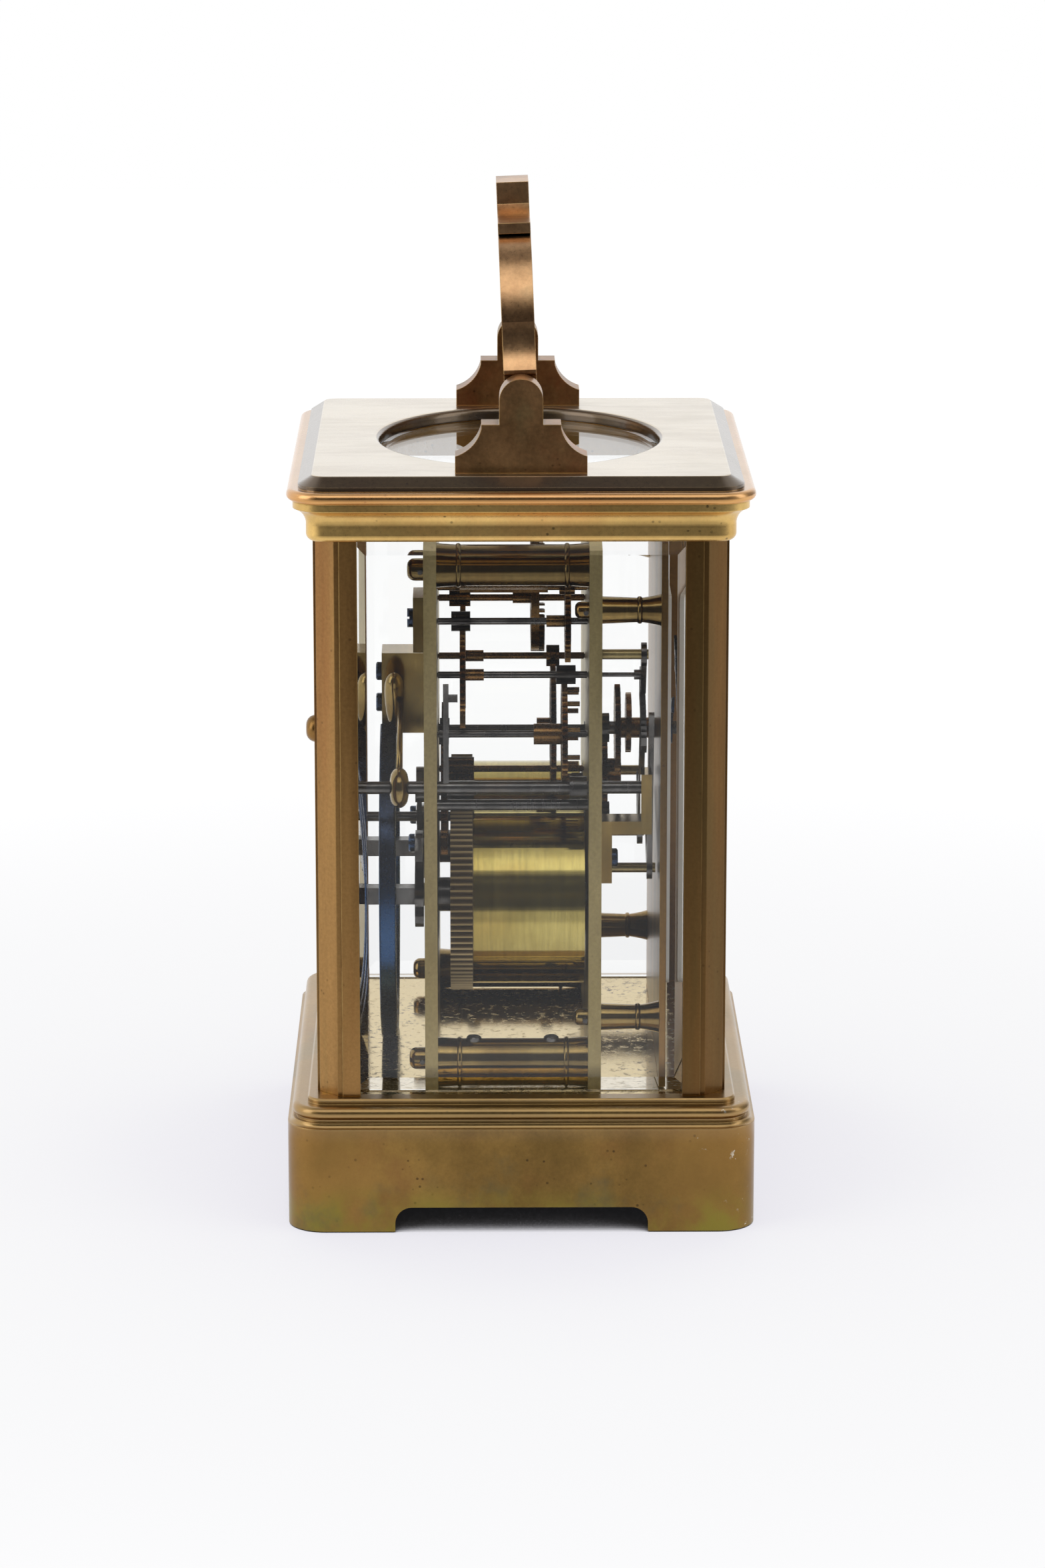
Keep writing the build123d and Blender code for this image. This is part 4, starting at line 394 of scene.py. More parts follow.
def metal(name, pale, deep, warm, cool, cloud, stretch=PLAIN, grain=PLAIN, tint=0.5, pits=0.4, gloss=0.2,
          lacquer=0.0, rubbed=None, hollow=1.2):
    """Metallic finish with the patina group's colour, roughness and relief, painted shade in hollows up to
    some millimetres deep, and rubbed edges if given."""
    made = bpy.data.materials.new(name)
    made.use_nodes = True
    tree = made.node_tree
    shader = tree.nodes["Principled BSDF"]
    aged = put(
        tree, "ShaderNodeGroup", {"node_tree": patina}, Pale=paint(*pale), Deep=paint(*deep),
        Warm=paint(*warm), Cool=paint(*cool), Cloud=cloud, Stretch=stretch, Grain=grain, Tint=tint,
        Pits=pits, Gloss=gloss,
    )
    colour = aged.outputs["Colour"]
    # Painted shade: hollows that the occlusion lookup finds are darkened towards a near-black brown.
    cavity_shading = put(tree, "ShaderNodeGroup", {"node_tree": cavity_shade}, Reach=hollow * MM).outputs["Cavity Shade"]
    colour = blend(tree, sums(tree, cavity_shading, 0.85, "MULTIPLY"), colour, paint(*CAVITY_SHADE_COLOUR))
    relief = put(
        tree, "ShaderNodeBump", Strength=RELIEF_STRENGTH, Distance=RELIEF_DEPTH, Height=aged.outputs["Height"]
    )
    if rubbed:
        worn = put(tree, "ShaderNodeGroup", {"node_tree": edge}, Radius=EDGE_ROUND)
        colour = blend(tree, sums(tree, worn.outputs["Wear"], 0.75, "MULTIPLY"), colour, paint(*rubbed))
        tree.links.new(worn.outputs["Normal"], relief.inputs["Normal"])
    tree.links.new(colour, shader.inputs["Base Color"])
    tree.links.new(aged.outputs["Roughness"], shader.inputs["Roughness"])
    tree.links.new(relief.outputs[0], shader.inputs["Normal"])
    shader.inputs["Metallic"].default_value = 1.0
    shader.inputs["Coat Weight"].default_value = lacquer
    shader.inputs["Coat Roughness"].default_value = 0.12
    return made


print("patina sockets", len(patina.interface.items_tree))

# %% [markdown]
# The case is cast and filed brass. The plinth stands low and is the brownest, the cornice and the
# handle are wiped most and are the palest, and the pillars and the door show upright strokes of the
# file. The numbers of one recipe tell them apart, so they still look like one metal.

# %% Case brass
UPRIGHT = (1, 1, 0.06)
RUB = (190, 158, 100)
plinth_brass = metal(
    "plinth_brass", (154, 120, 62), (108, 83, 40), (136, 84, 50), (96, 92, 60), 34, tint=0.75, pits=0.7,
    gloss=0.24, lacquer=0.15, rubbed=RUB, hollow=0.9,
)
pillar_brass = metal(
    "pillar_brass", (166, 126, 74), (120, 88, 48), (148, 96, 56), (120, 110, 68), 110, UPRIGHT, tint=0.6,
    pits=0.4, gloss=0.24, lacquer=0.1, rubbed=RUB,
)
cornice_brass = metal(
    "cornice_brass", (232, 194, 118), (188, 150, 84), (198, 134, 74), (182, 168, 108), 55, tint=0.6, pits=1.0,
    lacquer=0.2, rubbed=RUB, hollow=0.7,
)
handle_brass = metal(
    "handle_brass", (220, 174, 125), (164, 124, 86), (194, 131, 92), (154, 140, 104), 85, pits=0.3,
    lacquer=0.2, rubbed=RUB,
)
bracket_brass = metal(
    "bracket_brass", (182, 138, 92), (128, 95, 60), (170, 108, 70), (118, 112, 76), 90, tint=0.7, pits=0.5,
    gloss=0.25, lacquer=0.15, rubbed=RUB,
)
door_brass = metal(
    "door_brass", (148, 112, 62), (104, 76, 40), (138, 90, 54), (104, 94, 62), 70, UPRIGHT, pits=0.3,
    gloss=0.22, lacquer=0.1, rubbed=RUB,
)
print("case finishes", patina.users)

# %% [markdown]
# Inside the glass nothing is lacquered. Plates are matt from fine stoning, wheels and barrels are
# polished, arbors are bare steel, and the gong, the hands and the screws are blued by heat.

# %% Movement metals
TURNED = (0.05, 1, 0.05)
STONED = (1, 1, 0.3)
plate_brass = metal(
    "plate_brass", (186, 168, 120), (156, 140, 96), (168, 140, 92), (146, 138, 104), 60, STONED, tint=0.4,
    pits=0.3, gloss=0.3,
)
wheel_brass = metal(
    "wheel_brass", (146, 112, 68), (92, 68, 40), (134, 86, 50), (98, 88, 62), 120, pits=0.15, gloss=0.16,
)
barrel_brass = metal(
    "barrel_brass", (188, 172, 104), (160, 142, 78), (172, 140, 76), (150, 142, 92), 60, grain=TURNED,
    tint=0.35, pits=0.1, gloss=-0.02, hollow=0.8,
)
turned_brass = metal(
    "turned_brass", (164, 140, 88), (120, 98, 58), (156, 112, 56), (124, 114, 78), 70, grain=TURNED,
    pits=0.15, gloss=0.02,
)
steel = metal(
    "arbor_steel", (120, 118, 116), (72, 70, 68), (104, 88, 72), (80, 80, 84), 150, grain=TURNED, pits=0.3,
    gloss=0.14,
)
blued = metal(
    "blued_steel", (62, 74, 96), (30, 36, 48), (60, 56, 58), (40, 64, 104), 110, STONED, tint=0.7, pits=0.15,
    gloss=0.16,
)
print("all metal finishes", patina.users)

# %% [markdown]
# ## Zones on one solid
# A casting is one solid, but its parts age apart. The place in the object tells the zones apart:
# a smooth step on a coordinate gives a mask, and the mask mixes a further colour into the finish.
# Separate materials on the faces would leave sharp borders, which tarnish never has.

# %% Zone helpers
def place_in(tree):
    """The place in the object, and its three coordinates."""
    where = put(tree, "ShaderNodeTexCoord").outputs["Object"]
    return where, put(tree, "ShaderNodeSeparateXYZ", Vector=where).outputs


def stain(tree, share, colour):
    """Mixes a further colour into whatever feeds the base colour."""
    base = tree.nodes["Principled BSDF"].inputs["Base Color"]
    tree.links.new(blend(tree, share, base.links[0].from_socket, colour), base)


def polish(tree, share, value):
    """Mixes a further roughness into whatever feeds the roughness."""
    rough = tree.nodes["Principled BSDF"].inputs["Roughness"]
    mixed = put(tree, "ShaderNodeMix", i0=share, i2=rough.links[0].from_socket, i3=value)
    tree.links.new(mixed.outputs[0], rough)


def both_of(tree, first, second):
    """Mask where two masks meet."""
    return sums(tree, first, second, "MULTIPLY")


def lacquered(tree, share):
    """Thickens the clear coat where the mask is, from the finish's own weight up to 1."""
    weight = tree.nodes["Principled BSDF"].inputs["Coat Weight"]
    thin = weight.default_value
    tree.links.new(sums(tree, both_of(tree, share, 1.0 - thin), thin), weight)


print("plinth finish nodes before its zones", len(plinth_brass.node_tree.nodes))

# %% [markdown]
# The ends of the base are warm, its feet turn olive, clouds of red and green tarnish sit on the walls,
# the moulded top edge is painted paler as a painted reflection of the white room, and one corner is
# chipped. The zones are laid one over another, so that a later one covers an earlier one.

# %% Zones of the base
tree = plinth_brass.node_tree
where, at = place_in(tree)
ends = ramp(tree, sums(tree, at["Y"], 0.0, "ABSOLUTE"), 16 * MM, 36 * MM)
warm_ends = blend(tree, noise(tree, where, 80.0, 6.0), paint(136, 106, 52), paint(176, 130, 70))
stain(tree, both_of(tree, ends, 0.5), warm_ends)
foot = both_of(
    tree, ramp(tree, at["Z"], 10 * MM, 2 * MM), ramp(tree, noise(tree, where, 70.0, 6.0), 0.36, 0.6)
)
stain(tree, both_of(tree, foot, 0.9), paint(140, 128, 52))
for scale, colour in ((31.0, (116, 68, 46)), (43.0, (84, 88, 68))):
    stain(tree, both_of(tree, ramp(tree, noise(tree, where, scale, 6.0), 0.55, 0.7), 0.55), paint(*colour))
# Painted reflection: the moulded top of the base is painted paler, as if it mirrored the white room.
painted_moulding_reflection = ramp(tree, at["Z"], 18.6 * MM, 19.4 * MM)
stain(tree, both_of(tree, painted_moulding_reflection, 0.4), paint(200, 168, 110))
chips = ramp(tree, noise(tree, where, 700.0, 3.0), 0.64, 0.68)
for limit in (
    ramp(tree, at["Y"], -27 * MM, -31 * MM), ramp(tree, noise(tree, where, 120.0, 2.0), 0.5, 0.6),
    ramp(tree, at["X"], -38 * MM, -43 * MM),
):
    chips = both_of(tree, chips, limit)
stain(tree, chips, paint(214, 204, 184))
print("base finish nodes", len(tree.nodes))

# %% [markdown]
# The floor inside the glass never met a hand, so it stays bright, smooth and speckled. A box of smooth
# steps finds it in the same solid. The shoulder outside it has thicker lacquer, which catches the
# white room.

# %% Floor inside the glass
FLOOR_TOP = 23.7 * MM
INNER_HALF_X, INNER_HALF_Y = 41.5 * MM, 36.0 * MM
shoulder = ramp(tree, at["Z"], 16 * MM, 19 * MM)
inside = ramp(tree, at["Z"], FLOOR_TOP - 0.3 * MM, FLOOR_TOP - 0.1 * MM)
for title, limit in (("X", INNER_HALF_X), ("Y", INNER_HALF_Y)):
    reach = sums(tree, at[title], 0.0, "ABSOLUTE")
    inside = both_of(tree, inside, ramp(tree, reach, limit, limit - 0.4 * MM))
spots = ramp(tree, noise(tree, where, 620.0, 6.0, 0.75), 0.52, 0.62)
field = ramp(tree, noise(tree, where, 60.0, 4.0), 0.42, 0.62)
stain(tree, inside, blend(tree, both_of(tree, spots, field), paint(214, 190, 134), paint(104, 88, 60)))
polish(tree, inside, sums(tree, both_of(tree, spots, 0.25), 0.08))
lacquered(tree, both_of(tree, sums(tree, shoulder, inside, "SUBTRACT"), 0.5))
print("base finish nodes with the floor", len(tree.nodes))

# %% [markdown]
# The top of the cornice is rubbed smooth under thick lacquer, and at a low angle it mirrors the white
# room. A colour that follows the viewing angle would slide in other views, so the clear coat's own
# reflection does that, while a near-white colour painted on the top gives a painted reflection of that
# room at every angle. The slope round it is painted dark brown, a painted dark reflection, and the
# bead below is a warm orange.

# %% Zones of the cornice
CASE_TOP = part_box("cornice")[1][2]
tree = cornice_brass.node_tree
where, at = place_in(tree)
upper = ramp(tree, at["Z"], CASE_TOP - 0.12 * MM, CASE_TOP - 0.04 * MM)
tier = sums(tree, ramp(tree, at["Z"], CASE_TOP - 2.4 * MM, CASE_TOP - 2.2 * MM), upper, "SUBTRACT")
bead = ramp(tree, at["Z"], CASE_TOP - 4.6 * MM, CASE_TOP - 4.3 * MM)
bead = both_of(tree, bead, ramp(tree, at["Z"], CASE_TOP - 2.2 * MM, CASE_TOP - 2.4 * MM))
brushed = put(tree, "ShaderNodeVectorMath", {"operation": "MULTIPLY"}, i0=where, i1=(1.6, 0.4, 1)).outputs[0]
streaks = noise(tree, brushed, 60.0, 8.0, 0.7)
stain(tree, both_of(tree, bead, 0.7), paint(226, 164, 102))
cove = ramp(tree, at["Z"], CASE_TOP - 4.6 * MM, CASE_TOP - 4.8 * MM)
stain(tree, both_of(tree, cove, 0.3), paint(248, 208, 132))
# Painted dark reflection: the slope round the top is painted dark brown.
stain(tree, both_of(tree, tier, 0.9), blend(tree, streaks, paint(64, 52, 44), paint(98, 82, 68)))
# Painted reflection of the white room: the top is painted near white.
painted_top_reflection = blend(tree, ramp(tree, streaks, 0.36, 0.6), paint(206, 192, 168), paint(232, 221, 200))
stain(tree, both_of(tree, upper, 0.85), painted_top_reflection)
lacquered(tree, ramp(tree, at["Z"], CASE_TOP - 3.8 * MM, CASE_TOP - 3.0 * MM))
print("cornice top at", round(CASE_TOP / MM, 2), "mm")

# %% [markdown]
# The front pillars are browner than the rear ones. The wheel cut on the barrel's rim is dull with old
# oil, and painted shade darkens it between its teeth, so the distance from the barrel's axis tells teeth
# from gaps. The upper turned pillar is painted dark, a painted reflection of the dim room, and the
# gong, blued in a flame, is bluest at half its height.

# %% Zones of the pillars, barrels and gong
BARREL_X, BARREL_Z = 18 * MM, 55 * MM
TOOTH_FOOT, TOOTH_FLANK = 16.9 * MM, 17.3 * MM
WHEEL_FACE = 8.5 * MM
tree = pillar_brass.node_tree
at = place_in(tree)[1]
stain(tree, both_of(tree, ramp(tree, at["Y"], 5 * MM, -25 * MM), 0.5), paint(86, 58, 28))

tree = barrel_brass.node_tree
at = place_in(tree)[1]
wheel = ramp(tree, at["Y"], WHEEL_FACE, WHEEL_FACE + 0.2 * MM)
stain(tree, both_of(tree, wheel, 0.85), paint(168, 146, 108))
beside = sums(tree, sums(tree, at["X"], 0.0, "ABSOLUTE"), BARREL_X, "SUBTRACT")
above = sums(tree, at["Z"], BARREL_Z, "SUBTRACT")
from_axis = put(tree, "ShaderNodeCombineXYZ", X=beside, Y=above).outputs[0]
radius = put(tree, "ShaderNodeVectorMath", {"operation": "LENGTH"}, i0=from_axis).outputs["Value"]
# Painted shade between the teeth of the wheel cut on the rim.
stain(tree, both_of(tree, wheel, ramp(tree, radius, TOOTH_FLANK, TOOTH_FOOT)), paint(82, 68, 48))
polish(tree, wheel, 0.4)
bare = sums(tree, 1.0, both_of(tree, wheel, 0.6), "SUBTRACT")
tree.links.new(bare, tree.nodes["Principled BSDF"].inputs["Metallic"])

tree = turned_brass.node_tree
at = place_in(tree)[1]
# Painted dark reflection of the dim room on the upper turned pillar.
stain(tree, both_of(tree, ramp(tree, at["Z"], 108 * MM, 118 * MM), 0.6), paint(66, 54, 34))

tree = blued.node_tree
at = place_in(tree)[1]
heated = both_of(tree, ramp(tree, at["Z"], 36 * MM, 46 * MM), ramp(tree, at["Z"], 68 * MM, 56 * MM))
stain(tree, both_of(tree, heated, 0.7), paint(54, 88, 130))
print("gong finish nodes", len(tree.nodes))

# %% [markdown]
# ## Glass and enamel
# The panes are thick with wide bevels, and the bevels bend the view at their edges, so they are
# real refracting solids and not thin clear sheets. Shadow rays pass straight through, so the
# movement inside stays lit. Enamel, ink and ruby are smooth and differ only in colour and gloss.

# %% Glass and enamel
glass = bpy.data.materials.new("bevelled_glass")
glass.use_nodes = True
tree = glass.node_tree
shader = tree.nodes["Principled BSDF"]
shader.inputs["Base Color"].default_value = (0.996, 1.0, 0.998, 1)
shader.inputs["Roughness"].default_value = 0.0
shader.inputs["IOR"].default_value = 1.38
shader.inputs["Transmission Weight"].default_value = 1.0
rays = put(tree, "ShaderNodeLightPath")
clear = put(tree, "ShaderNodeBsdfTransparent")
passing = put(
    tree, "ShaderNodeMixShader", i0=rays.outputs["Is Shadow Ray"], i1=shader.outputs[0], i2=clear.outputs[0]
)
tree.links.new(passing.outputs[0], tree.nodes["Material Output"].inputs["Surface"])


def gloss_paint(name, first, second, scale, rough):
    """Smooth non-metal whose colour drifts between two close shades."""
    made = bpy.data.materials.new(name)
    made.use_nodes = True
    tree = made.node_tree
    shader = tree.nodes["Principled BSDF"]
    mottle = noise(tree, put(tree, "ShaderNodeTexCoord").outputs["Object"], scale)
    tree.links.new(blend(tree, mottle, paint(*first), paint(*second)), shader.inputs["Base Color"])
    tree.links.new(sums(tree, sums(tree, mottle, 0.1, "MULTIPLY"), rough), shader.inputs["Roughness"])
    return made


enamel = gloss_paint("white_enamel", (228, 226, 218), (240, 239, 234), 260.0, 0.12)
dial_ink = gloss_paint("dial_ink", (16, 16, 18), (30, 29, 30), 900.0, 0.3)
ruby = gloss_paint("ruby_jewel", (120, 14, 34), (158, 28, 52), 1500.0, 0.05)
print("glass index", round(shader.inputs["IOR"].default_value, 2))

# %% [markdown]
# ## Finishes on the solids
# Finishes could be given by hand, one solid after another. A dictionary from finish to the names of
# the solids reads like a parts list instead, and is easy to change. Whatever it leaves out is a wheel.

# %% Finishes on the solids
finishes = {
    plinth_brass: ["base"],
    pillar_brass: ["corner_pillars"],
    cornice_brass: ["cornice"],
    handle_brass: ["handle"],
    bracket_brass: ["handle_brackets"],
    door_brass: ["door_frame", "door_knob", "dial_mask"],
    plate_brass: ["back_plate", "front_plate", "platform", "platform_cocks"],
    barrel_brass: ["strike_barrel", "going_barrel"],
    turned_brass: ["movement_pillars", "dial_feet", "gong_block", "hammer", "strike_cock", "rear_cock"],
    steel: [
        "strike_winding_arbor", "going_winding_arbor", "strike_click", "going_click", "strike_second_arbor",
        "pin_arbor", "gathering_arbor", "warning_arbor", "centre_arbor", "escape_wheel", "pallet_lever",
        "set_arbor", "hammer_arbor", "rack", "rack_hook", "lifting_piece", "click_springs", "taper_pins",
    ],
    blued: ["gong", "hairspring", "hour_hand", "minute_hand", "movement_screws"],
    glass: ["top_glass", "side_glasses", "front_glass", "door_glass"],
    enamel: ["enamel_dial"],
}
dressed = {name: finish for finish, names in finishes.items() for name in names}
for name, piece in nodes.items():
    piece.data.materials.clear()
    piece.data.materials.append(dressed.get(name, wheel_brass))
print("finishes", len(finishes) + 1)

# %% [markdown]
# ## Wound springs
# The gong is a flat steel strip wound in a plane, and so is the hairspring, which is far finer. A
# curve object with a bevel profile could make both, but its points would have to be set one by one.
# Both follow half circles whose radius changes by half the pitch at each half turn, so one function
# of the turning angle gives the line, and a rounded strip is carried along it.

# %% Gong
def coil_line(start, turn, first_radius, half_pitch, steps):
    """Half circles end to end: at angle a, half turn k = floor((a - 90) / 180); the radius is the first
    plus k half pitches, and odd half turns are centred one half pitch along the second axis."""
    angle = np.linspace(start, start + turn, steps)
    half_turn = np.floor((angle - 90 - 1e-6) / 180)
    radius = first_radius + half_turn * half_pitch
    across = np.stack([np.cos(np.radians(angle)), np.sin(np.radians(angle))], -1)
    centre = np.stack([np.zeros(steps), (half_turn % 2) * half_pitch], -1)
    return centre + radius[:, None] * across, across


def strip_section(thickness, width, corner, steps=4):
    """Rounded rectangle: each quarter circle of the corner radius stands at one corner of the core."""
    quarter = np.linspace(0, np.pi / 2, steps)
    angle = np.concatenate([quarter + k * np.pi / 2 for k in range(4)])
    core = np.repeat(np.array([(1, 1), (-1, 1), (-1, -1), (1, -1)]), steps, 0)
    core = core * (np.array((thickness, width)) / 2 - corner)
    return core + corner * np.stack([np.cos(angle), np.sin(angle)], -1)


def wound_strip(line, across, section):
    """Carries the section along the line: its first number goes across the strip, its second out of the
    plane of the coil. The end rows are drawn in to the line, which closes them."""
    rows = np.ones(len(line) + 2)
    rows[[0, -1]] = 0
    order = np.concatenate([[0], np.arange(len(line)), [len(line) - 1]])
    flat = line[order][:, None] + across[order][:, None] * section[None, :, :1] * rows[:, None, None]
    return flat, section[None, :, 1] * rows[:, None]


GONG_AT = (0.0, 24.1, 54.1)
GONG_START, GONG_TURNS = 97.984, 2.75
GONG_RADIUS, GONG_HALF_PITCH = 29.4, -1.2
GONG_THICK, GONG_WIDE, GONG_CORNER = 1.2, 3.0, 0.28
line, across = coil_line(GONG_START, GONG_TURNS * 360, GONG_RADIUS, GONG_HALF_PITCH, 560)
flat, depth = wound_strip(line, across, strip_section(GONG_THICK, GONG_WIDE, GONG_CORNER))
gong_points = np.stack([flat[..., 0] + GONG_AT[0], depth + GONG_AT[1], flat[..., 1] + GONG_AT[2]], -1)
gong_coil = grid_piece("gong_coil", [gong_points], blued, close_v=True)
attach(gong_coil, "case")
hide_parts("gong")
print("gong triangles", 2 * len(gong_coil.data.polygons))

# %% [markdown]
# The hairspring sits on the balance staff by a small brass collet, which is a plain turned ring. A
# turned piece needs only its outline: every point of it goes once round the axis.

# %% Hairspring
SPRING_START, SPRING_TURNS = 90, 5
SPRING_RADIUS, SPRING_HALF_PITCH = 1.2, 0.39
SPRING_THICK, SPRING_WIDE, SPRING_CORNER = 0.25, 0.5, 0.06
joint_at = {joint["name"]: np.array(joint["pos_m"]) / MM for joint in frame["joints"]}
balance_at = joint_at["balance_swing"]
spring_low, spring_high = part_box("hairspring")[0][2] / MM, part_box("hairspring")[1][2] / MM
line, across = coil_line(SPRING_START, SPRING_TURNS * 360, SPRING_RADIUS, SPRING_HALF_PITCH, 700)
flat, depth = wound_strip(line, across, strip_section(SPRING_THICK, SPRING_WIDE, SPRING_CORNER))
spring_points = np.stack(
    [flat[..., 0] + balance_at[0], flat[..., 1] + balance_at[1], depth + (spring_low + spring_high) / 2], -1
)[:, ::-1]


def turned(outline, steps=48):
    """Turned piece about the Z axis: each point of the outline, a radius and a height, goes round a
    circle."""
    angle = np.linspace(0, 2 * np.pi, steps, endpoint=False)
    outline = np.array(outline, float)
    spin = np.stack([np.cos(angle), np.sin(angle)], -1)
    flat = outline[None, :, :1] * spin[:, None, :]
    return np.concatenate([flat, np.broadcast_to(outline[None, :, 1:], (steps, len(outline), 1))], -1)


collet = turned([(0.62, 0.0), (1.32, 0.0), (1.32, 0.5), (0.62, 0.5), (0.62, 0.0)])
collet = collet + np.array([balance_at[0], balance_at[1], spring_low])
hairspring_coil = grid_piece("hairspring_coil", [spring_points], blued, close_v=True)
hairspring_collet = grid_piece("hairspring_collet", [collet], turned_brass, close_u=True)
for piece in (hairspring_coil, hairspring_collet):
    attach(piece, "balance")
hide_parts("hairspring")
print("hairspring triangles", 2 * len(hairspring_coil.data.polygons))

# %% [markdown]
# ## Slotted screws
# A clock screw is a polished blue head with a bevelled rim and a slot. A boolean cut could make the
# slot, but leaves ragged faces. Here the head is cut into strips across the slot: each strip runs up
# one side, over the top and down the other, and the strips between the slot's walls lie lower. Two
# strips at the same place make a wall.

# %% Screw heads
def slotted_head(radius, height, slot_width, slot_depth):
    """Strips at places x across the slot have the half chord c = sqrt(radius^2 - x^2); their top is the
    height less the bevel, and less the slot's depth between the slot's walls."""
    half, strips = slot_width / 2, 9
    outer = radius * np.sin(np.linspace(-np.pi / 2, -np.arcsin(half / radius), strips))
    x = np.concatenate([outer, [-half, half], -outer[::-1]])
    sunk = np.concatenate([np.zeros(strips), np.ones(2), np.zeros(strips)]) * slot_depth
    chord = np.sqrt(np.maximum(radius**2 - x**2, 0))
    bevel = 0.22 * height
    inner = np.maximum(chord - 1.2 * bevel, 0)
    low = np.zeros_like(x)
    top = height - sunk
    shoulder = np.minimum(np.full_like(x, height - bevel), top)
    y = np.stack([-chord, -chord, -inner, inner, chord, chord], -1)
    z = np.stack([low, shoulder, top, top, shoulder, low], -1)
    return np.stack([np.broadcast_to(x[:, None], y.shape), y, z], -1)


ASKEW = (0.3, 0.5, 0.81)


def set_on(points, place, outward, turn):
    """Turns a piece about its own axis by an angle and stands it on a place, facing outward. A direction
    askew to every axis gives the first side."""
    outward = np.array(outward, float)
    side = np.cross(ASKEW, outward)
    side /= np.linalg.norm(side)
    along = np.cross(outward, side)
    c, s = np.cos(turn), np.sin(turn)
    basis = np.stack([c * side + s * along, c * along - s * side, outward])
    return points @ basis + np.array(place)


REAR, FRONT, UP = (0, 1, 0), (0, -1, 0), (0, 0, 1)
CLICK_X, CLICK_Z = 10.907, 62.877
LARGE, SMALL = 1.7, 1.15
TALL, LOW = 1.1, 0.55
PLATFORM_TOP, COCK_TOP = 123.4, 131.5
SLOT_WIDTH = SLOT_DEPTH = 0.4
screw_places = [
    ((-CLICK_X, 19.3, CLICK_Z), REAR, LARGE, TALL), ((CLICK_X, 19.3, CLICK_Z), REAR, LARGE, TALL),
    ((-23.855, 19.2, 107.707), REAR, LARGE, TALL), ((0, 25.3, 86.965), REAR, LARGE, TALL),
    ((0, 25.3, 92.815), REAR, LARGE, TALL), ((-31.0, -16.3, 65.1), FRONT, LARGE, TALL),
    ((-14.2, -13.25, PLATFORM_TOP), UP, SMALL, TALL), ((-14.2, 16.15, PLATFORM_TOP), UP, SMALL, TALL),
    ((14.2, -13.25, PLATFORM_TOP), UP, SMALL, TALL), ((14.2, 16.15, PLATFORM_TOP), UP, SMALL, TALL),
    ((-11.133, 6.025, COCK_TOP), UP, LARGE, LOW),
]
heads = [
    set_on(slotted_head(radius, height, SLOT_WIDTH, SLOT_DEPTH), place, facing, 0.7 * index)
    for index, (place, facing, radius, height) in enumerate(screw_places)
]
shanks = [
    set_on(turned([(0.0, 0.0), (0.9, 0.0), (0.9, 2.1), (0.0, 2.1)], 24), (x, 17.3, CLICK_Z), REAR, 0.0)
    for x in (-CLICK_X, CLICK_X)
]
pillar_heads = [
    set_on(slotted_head(1.35, 0.9, SLOT_WIDTH, 0.35), (x, y, 30.75), UP, 0.5 * y)
    for x in (-30.5, 30.5) for y in (8.5, -5.5)
]
screw_heads = grid_piece("screw_heads", heads, blued, close_v=True)
screw_shanks = grid_piece("screw_shanks", shanks, steel, close_u=True)
pillar_screws = grid_piece("pillar_screws", pillar_heads, steel, close_v=True)
for piece, slot_name in ((screw_heads, "blued_steel"), (screw_shanks, "steel"), (pillar_screws, "steel")):
    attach(piece, "case")
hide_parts("movement_screws")
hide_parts("movement_screws")
print("screws", len(heads) + len(pillar_heads))

# %% [markdown]
# ## Hammer
# The hammer is polished like jewellery: a pear-shaped head on a slender stem, and a boss like a
# thick lens on its arbor. Smoothing a block would blur its ends. Each part is round about its own
# axis, so turned outlines set along three lines make it, inside the space of the plain solid that
# stands for it in the motion.

# %% Hammer head, stem and boss
HAMMER_AT = np.array((-31.0, 20.1, 78.1))
HEAD_LOW = np.array((-7.5, 22.9, 84.05))
HEAD_TILT = np.radians(110.4)
HEAD_AXIS = np.array((np.cos(HEAD_TILT), 0, np.sin(HEAD_TILT)))
HEAD_LENGTH, HEAD_RADIUS = 11.5, 2.05
STEM_MEETS = 0.62
BOSS_LENGTH, BOSS_BORE, BOSS_RIM, BOSS_BELLY = 3.4, 1.16, 1.3, 3.65


def pear(length, radius, steps=24):
    """Pear outline: along the axis, t goes from 0 to 1; the radius is the largest one, times a taper from
    0.7 at the striking end to 1, times the square root of 1 - |2t - 1| to the power 3.2."""
    t = (1 - np.cos(np.linspace(0, np.pi, steps))) / 2
    swell = np.sqrt(np.maximum(1 - np.abs(2 * t - 1) ** 3.2, 0))
    return np.stack([radius * (0.7 + 0.3 * t) * swell, length * t], -1)


def boss_outline(length, bore, rim, belly, steps=16):
    """Half ellipse from one rim to the other, closed along the bore."""
    h = np.linspace(-1, 1, steps)
    side = np.stack([rim + (belly - rim) * np.sqrt(np.maximum(1 - h**2, 0)), length * (h + 1) / 2], -1)
    return np.concatenate([[(bore, 0.0)], side, [(bore, length), (bore, 0.0)]])


stem_foot = HAMMER_AT + (0, BOSS_LENGTH / 2, 0)
stem_tip = HEAD_LOW + STEM_MEETS * HEAD_LENGTH * HEAD_AXIS + (0, -1.1, 0)
stem_way = stem_tip - stem_foot
stem_length = np.linalg.norm(stem_way)
stem_outline = [(0.0, 1.5), (0.6, 1.5), (0.45, stem_length), (0.0, stem_length)]
hammer_grids = [
    set_on(turned(pear(HEAD_LENGTH, HEAD_RADIUS)), HEAD_LOW, HEAD_AXIS, 0.0),
    set_on(turned(stem_outline, 20), stem_foot, stem_way / stem_length, 0.0),
    set_on(turned(boss_outline(BOSS_LENGTH, BOSS_BORE, BOSS_RIM, BOSS_BELLY)), HAMMER_AT, REAR, 0.0),
]
polished_hammer = grid_piece("polished_hammer", hammer_grids, turned_brass, close_u=True)
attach(polished_hammer, "hammer")
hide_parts("hammer")
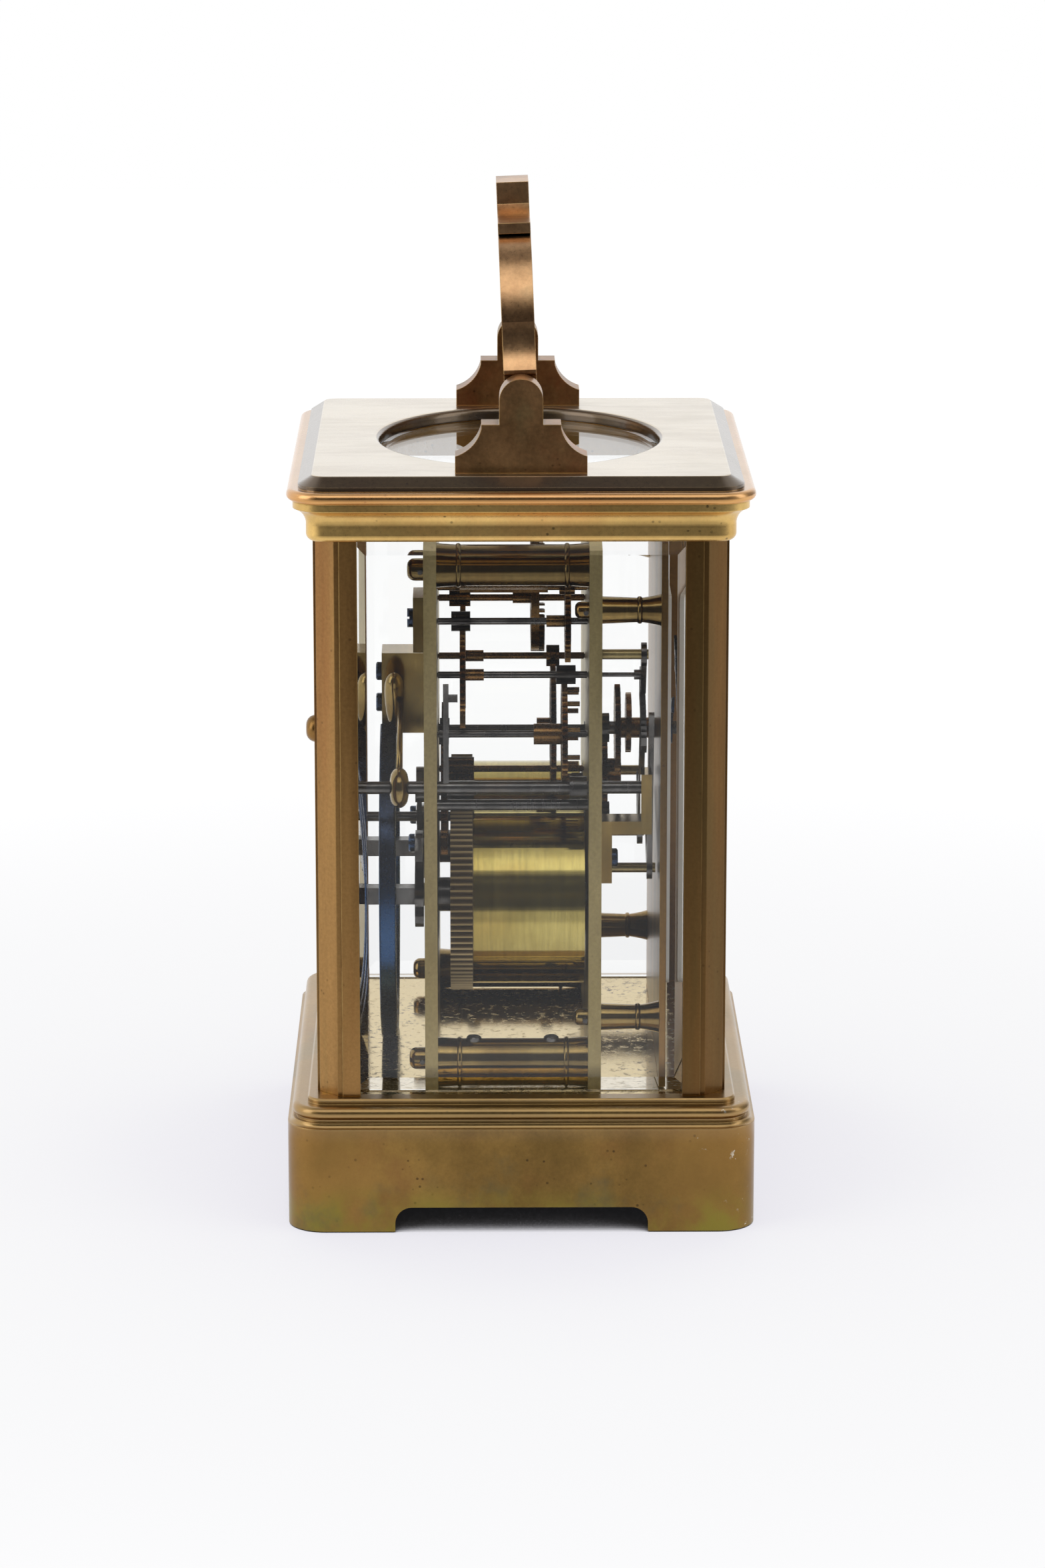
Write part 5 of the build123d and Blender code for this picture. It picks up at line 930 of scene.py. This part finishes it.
polished_hammer.data.shade_smooth()
print("hammer triangles", 2 * len(polished_hammer.data.polygons))

# %% [markdown]
# ## Jewels
# The pivots of the platform run in rubies set in thin brass rings, which catch the eye through
# the oval window. A torus and a ball would look like beads, so each is a turned outline: a ring
# with a rounded lip and a cupped stone.

# %% Jewels on the platform
ESCAPE_COCK_TOP = 127.2
jewel_places = [
    (*joint_at["balance_swing"][:2], COCK_TOP), (*joint_at["escape_turn"][:2], ESCAPE_COCK_TOP),
]
ring_outline = [
    (0.62, 0.0), (1.1, 0.0), (1.1, 0.1), (1.0, 0.18), (0.8, 0.2), (0.72, 0.16), (0.62, 0.08), (0.62, 0.0),
]
stone_outline = [(0.42, 0.0), (0.62, 0.0), (0.62, 0.12), (0.52, 0.1), (0.42, 0.05), (0.42, 0.0)]
rings = [turned(ring_outline) + np.array(place) for place in jewel_places]
stones = [turned(stone_outline) + np.array(place) for place in jewel_places]
jewel_rings = grid_piece("jewel_rings", rings, wheel_brass, close_u=True)
jewel_stones = grid_piece("jewel_stones", stones, ruby, close_u=True)
for piece in (jewel_rings, jewel_stones):
    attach(piece, "case")
print("jewels", len(stones))

# %% [markdown]
# ## Dial print
# The numerals are fired into the enamel: upright strokes, slanted strokes with a thick and a
# thin arm, and hair-line serifs, all leaning with the hour. Text objects would bring a typeface's
# own look and many small faces, so every mark is a flat four-sided patch with a hair's thickness.

# %% Numerals
dial_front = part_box("enamel_dial")[0][1] / MM - 0.01
dial_at = joint_at["hour_turn"]
THICK, THIN, HAIR = 0.62, 0.2, 0.09
STROKES = {
    "I": [(0.0, 0.0, THICK)],
    "V": [(-0.95, 0.0, THICK), (0.95, 0.0, THIN)],
    "X": [(-1.0, 1.0, THICK), (1.0, -1.0, THIN)],
}
ADVANCE = {"I": 1.3, "V": 2.6, "X": 2.7}
NUMERALS = ("XII", "I", "II", "III", "IIII", "V", "VI", "VII", "VIII", "IX", "X", "XI")
NUMERAL_RADIUS, NUMERAL_HEIGHT = 19.2, 5.4


def numeral_patches(letters):
    """Corner points of a numeral's strokes, with u across and v outwards: a stroke goes from its top place
    to its foot, and serifs are hair lines over all its letters."""
    widths = np.array([ADVANCE[letter] for letter in letters])
    places = np.cumsum(widths) - widths / 2 - widths.sum() / 2
    high = NUMERAL_HEIGHT / 2
    patches = []
    for letter, middle in zip(letters, places):
        for top, foot, width in STROKES[letter]:
            patches.append([
                [(middle + top - width / 2, high), (middle + foot - width / 2, -high)],
                [(middle + top + width / 2, high), (middle + foot + width / 2, -high)],
            ])
    reach = widths.sum() / 2 - 0.15
    for edge_v in (high, -high):
        patches.append([[(end, edge_v + HAIR), (end, edge_v - HAIR)] for end in (-reach, reach)])
    return np.array(patches)


def on_dial(patches, clockwise, radius):
    """Turns patches to a clock bearing and lays them on the enamel: u runs along the rim, v outwards."""
    c, s = np.cos(clockwise), np.sin(clockwise)
    u, v = patches[..., 0], patches[..., 1] + radius
    return np.stack([dial_at[0] + u * c + v * s, np.full_like(u, dial_front), dial_at[2] - u * s + v * c], -1)


marks = [patch for hour, letters in enumerate(NUMERALS)
         for patch in on_dial(numeral_patches(letters), hour * np.pi / 6, NUMERAL_RADIUS)]
print("numeral strokes", len(marks))

# %% [markdown]
# The minute ring is two thin circles with sixty ticks between them, the fifth ones broader. All marks
# go into one mesh, and a solidify modifier gives the ink its thickness.

# %% Minute ring
MINUTE_RADIUS, MINUTE_HALF = 23.4, 0.5
BROAD_TICK, FINE_TICK = (0.22, 0.62), (0.09, 0.45)
CIRCLE_HALF = 0.06
for minute in range(60):
    half, long = BROAD_TICK if minute % 5 == 0 else FINE_TICK
    tick = np.array([[[(-half, long), (-half, -long)], [(half, long), (half, -long)]]])
    marks.extend(on_dial(tick, minute * np.pi / 30, MINUTE_RADIUS))
around = np.linspace(0, 2 * np.pi, 121)[:, None]
for radius in (MINUTE_RADIUS - MINUTE_HALF, MINUTE_RADIUS + MINUTE_HALF):
    ring = radius + np.array((CIRCLE_HALF, -CIRCLE_HALF))
    across, upward = dial_at[0] + np.sin(around) * ring, dial_at[2] + np.cos(around) * ring
    marks.append(np.stack([across, np.full_like(across, dial_front), upward], -1))
dial_print = grid_piece("dial_print", marks, dial_ink)
thickness = dial_print.modifiers.new("ink", "SOLIDIFY")
thickness.thickness = 0.02 * MM
thickness.offset = 0.0
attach(dial_print, "case")
print("dial marks", len(marks))
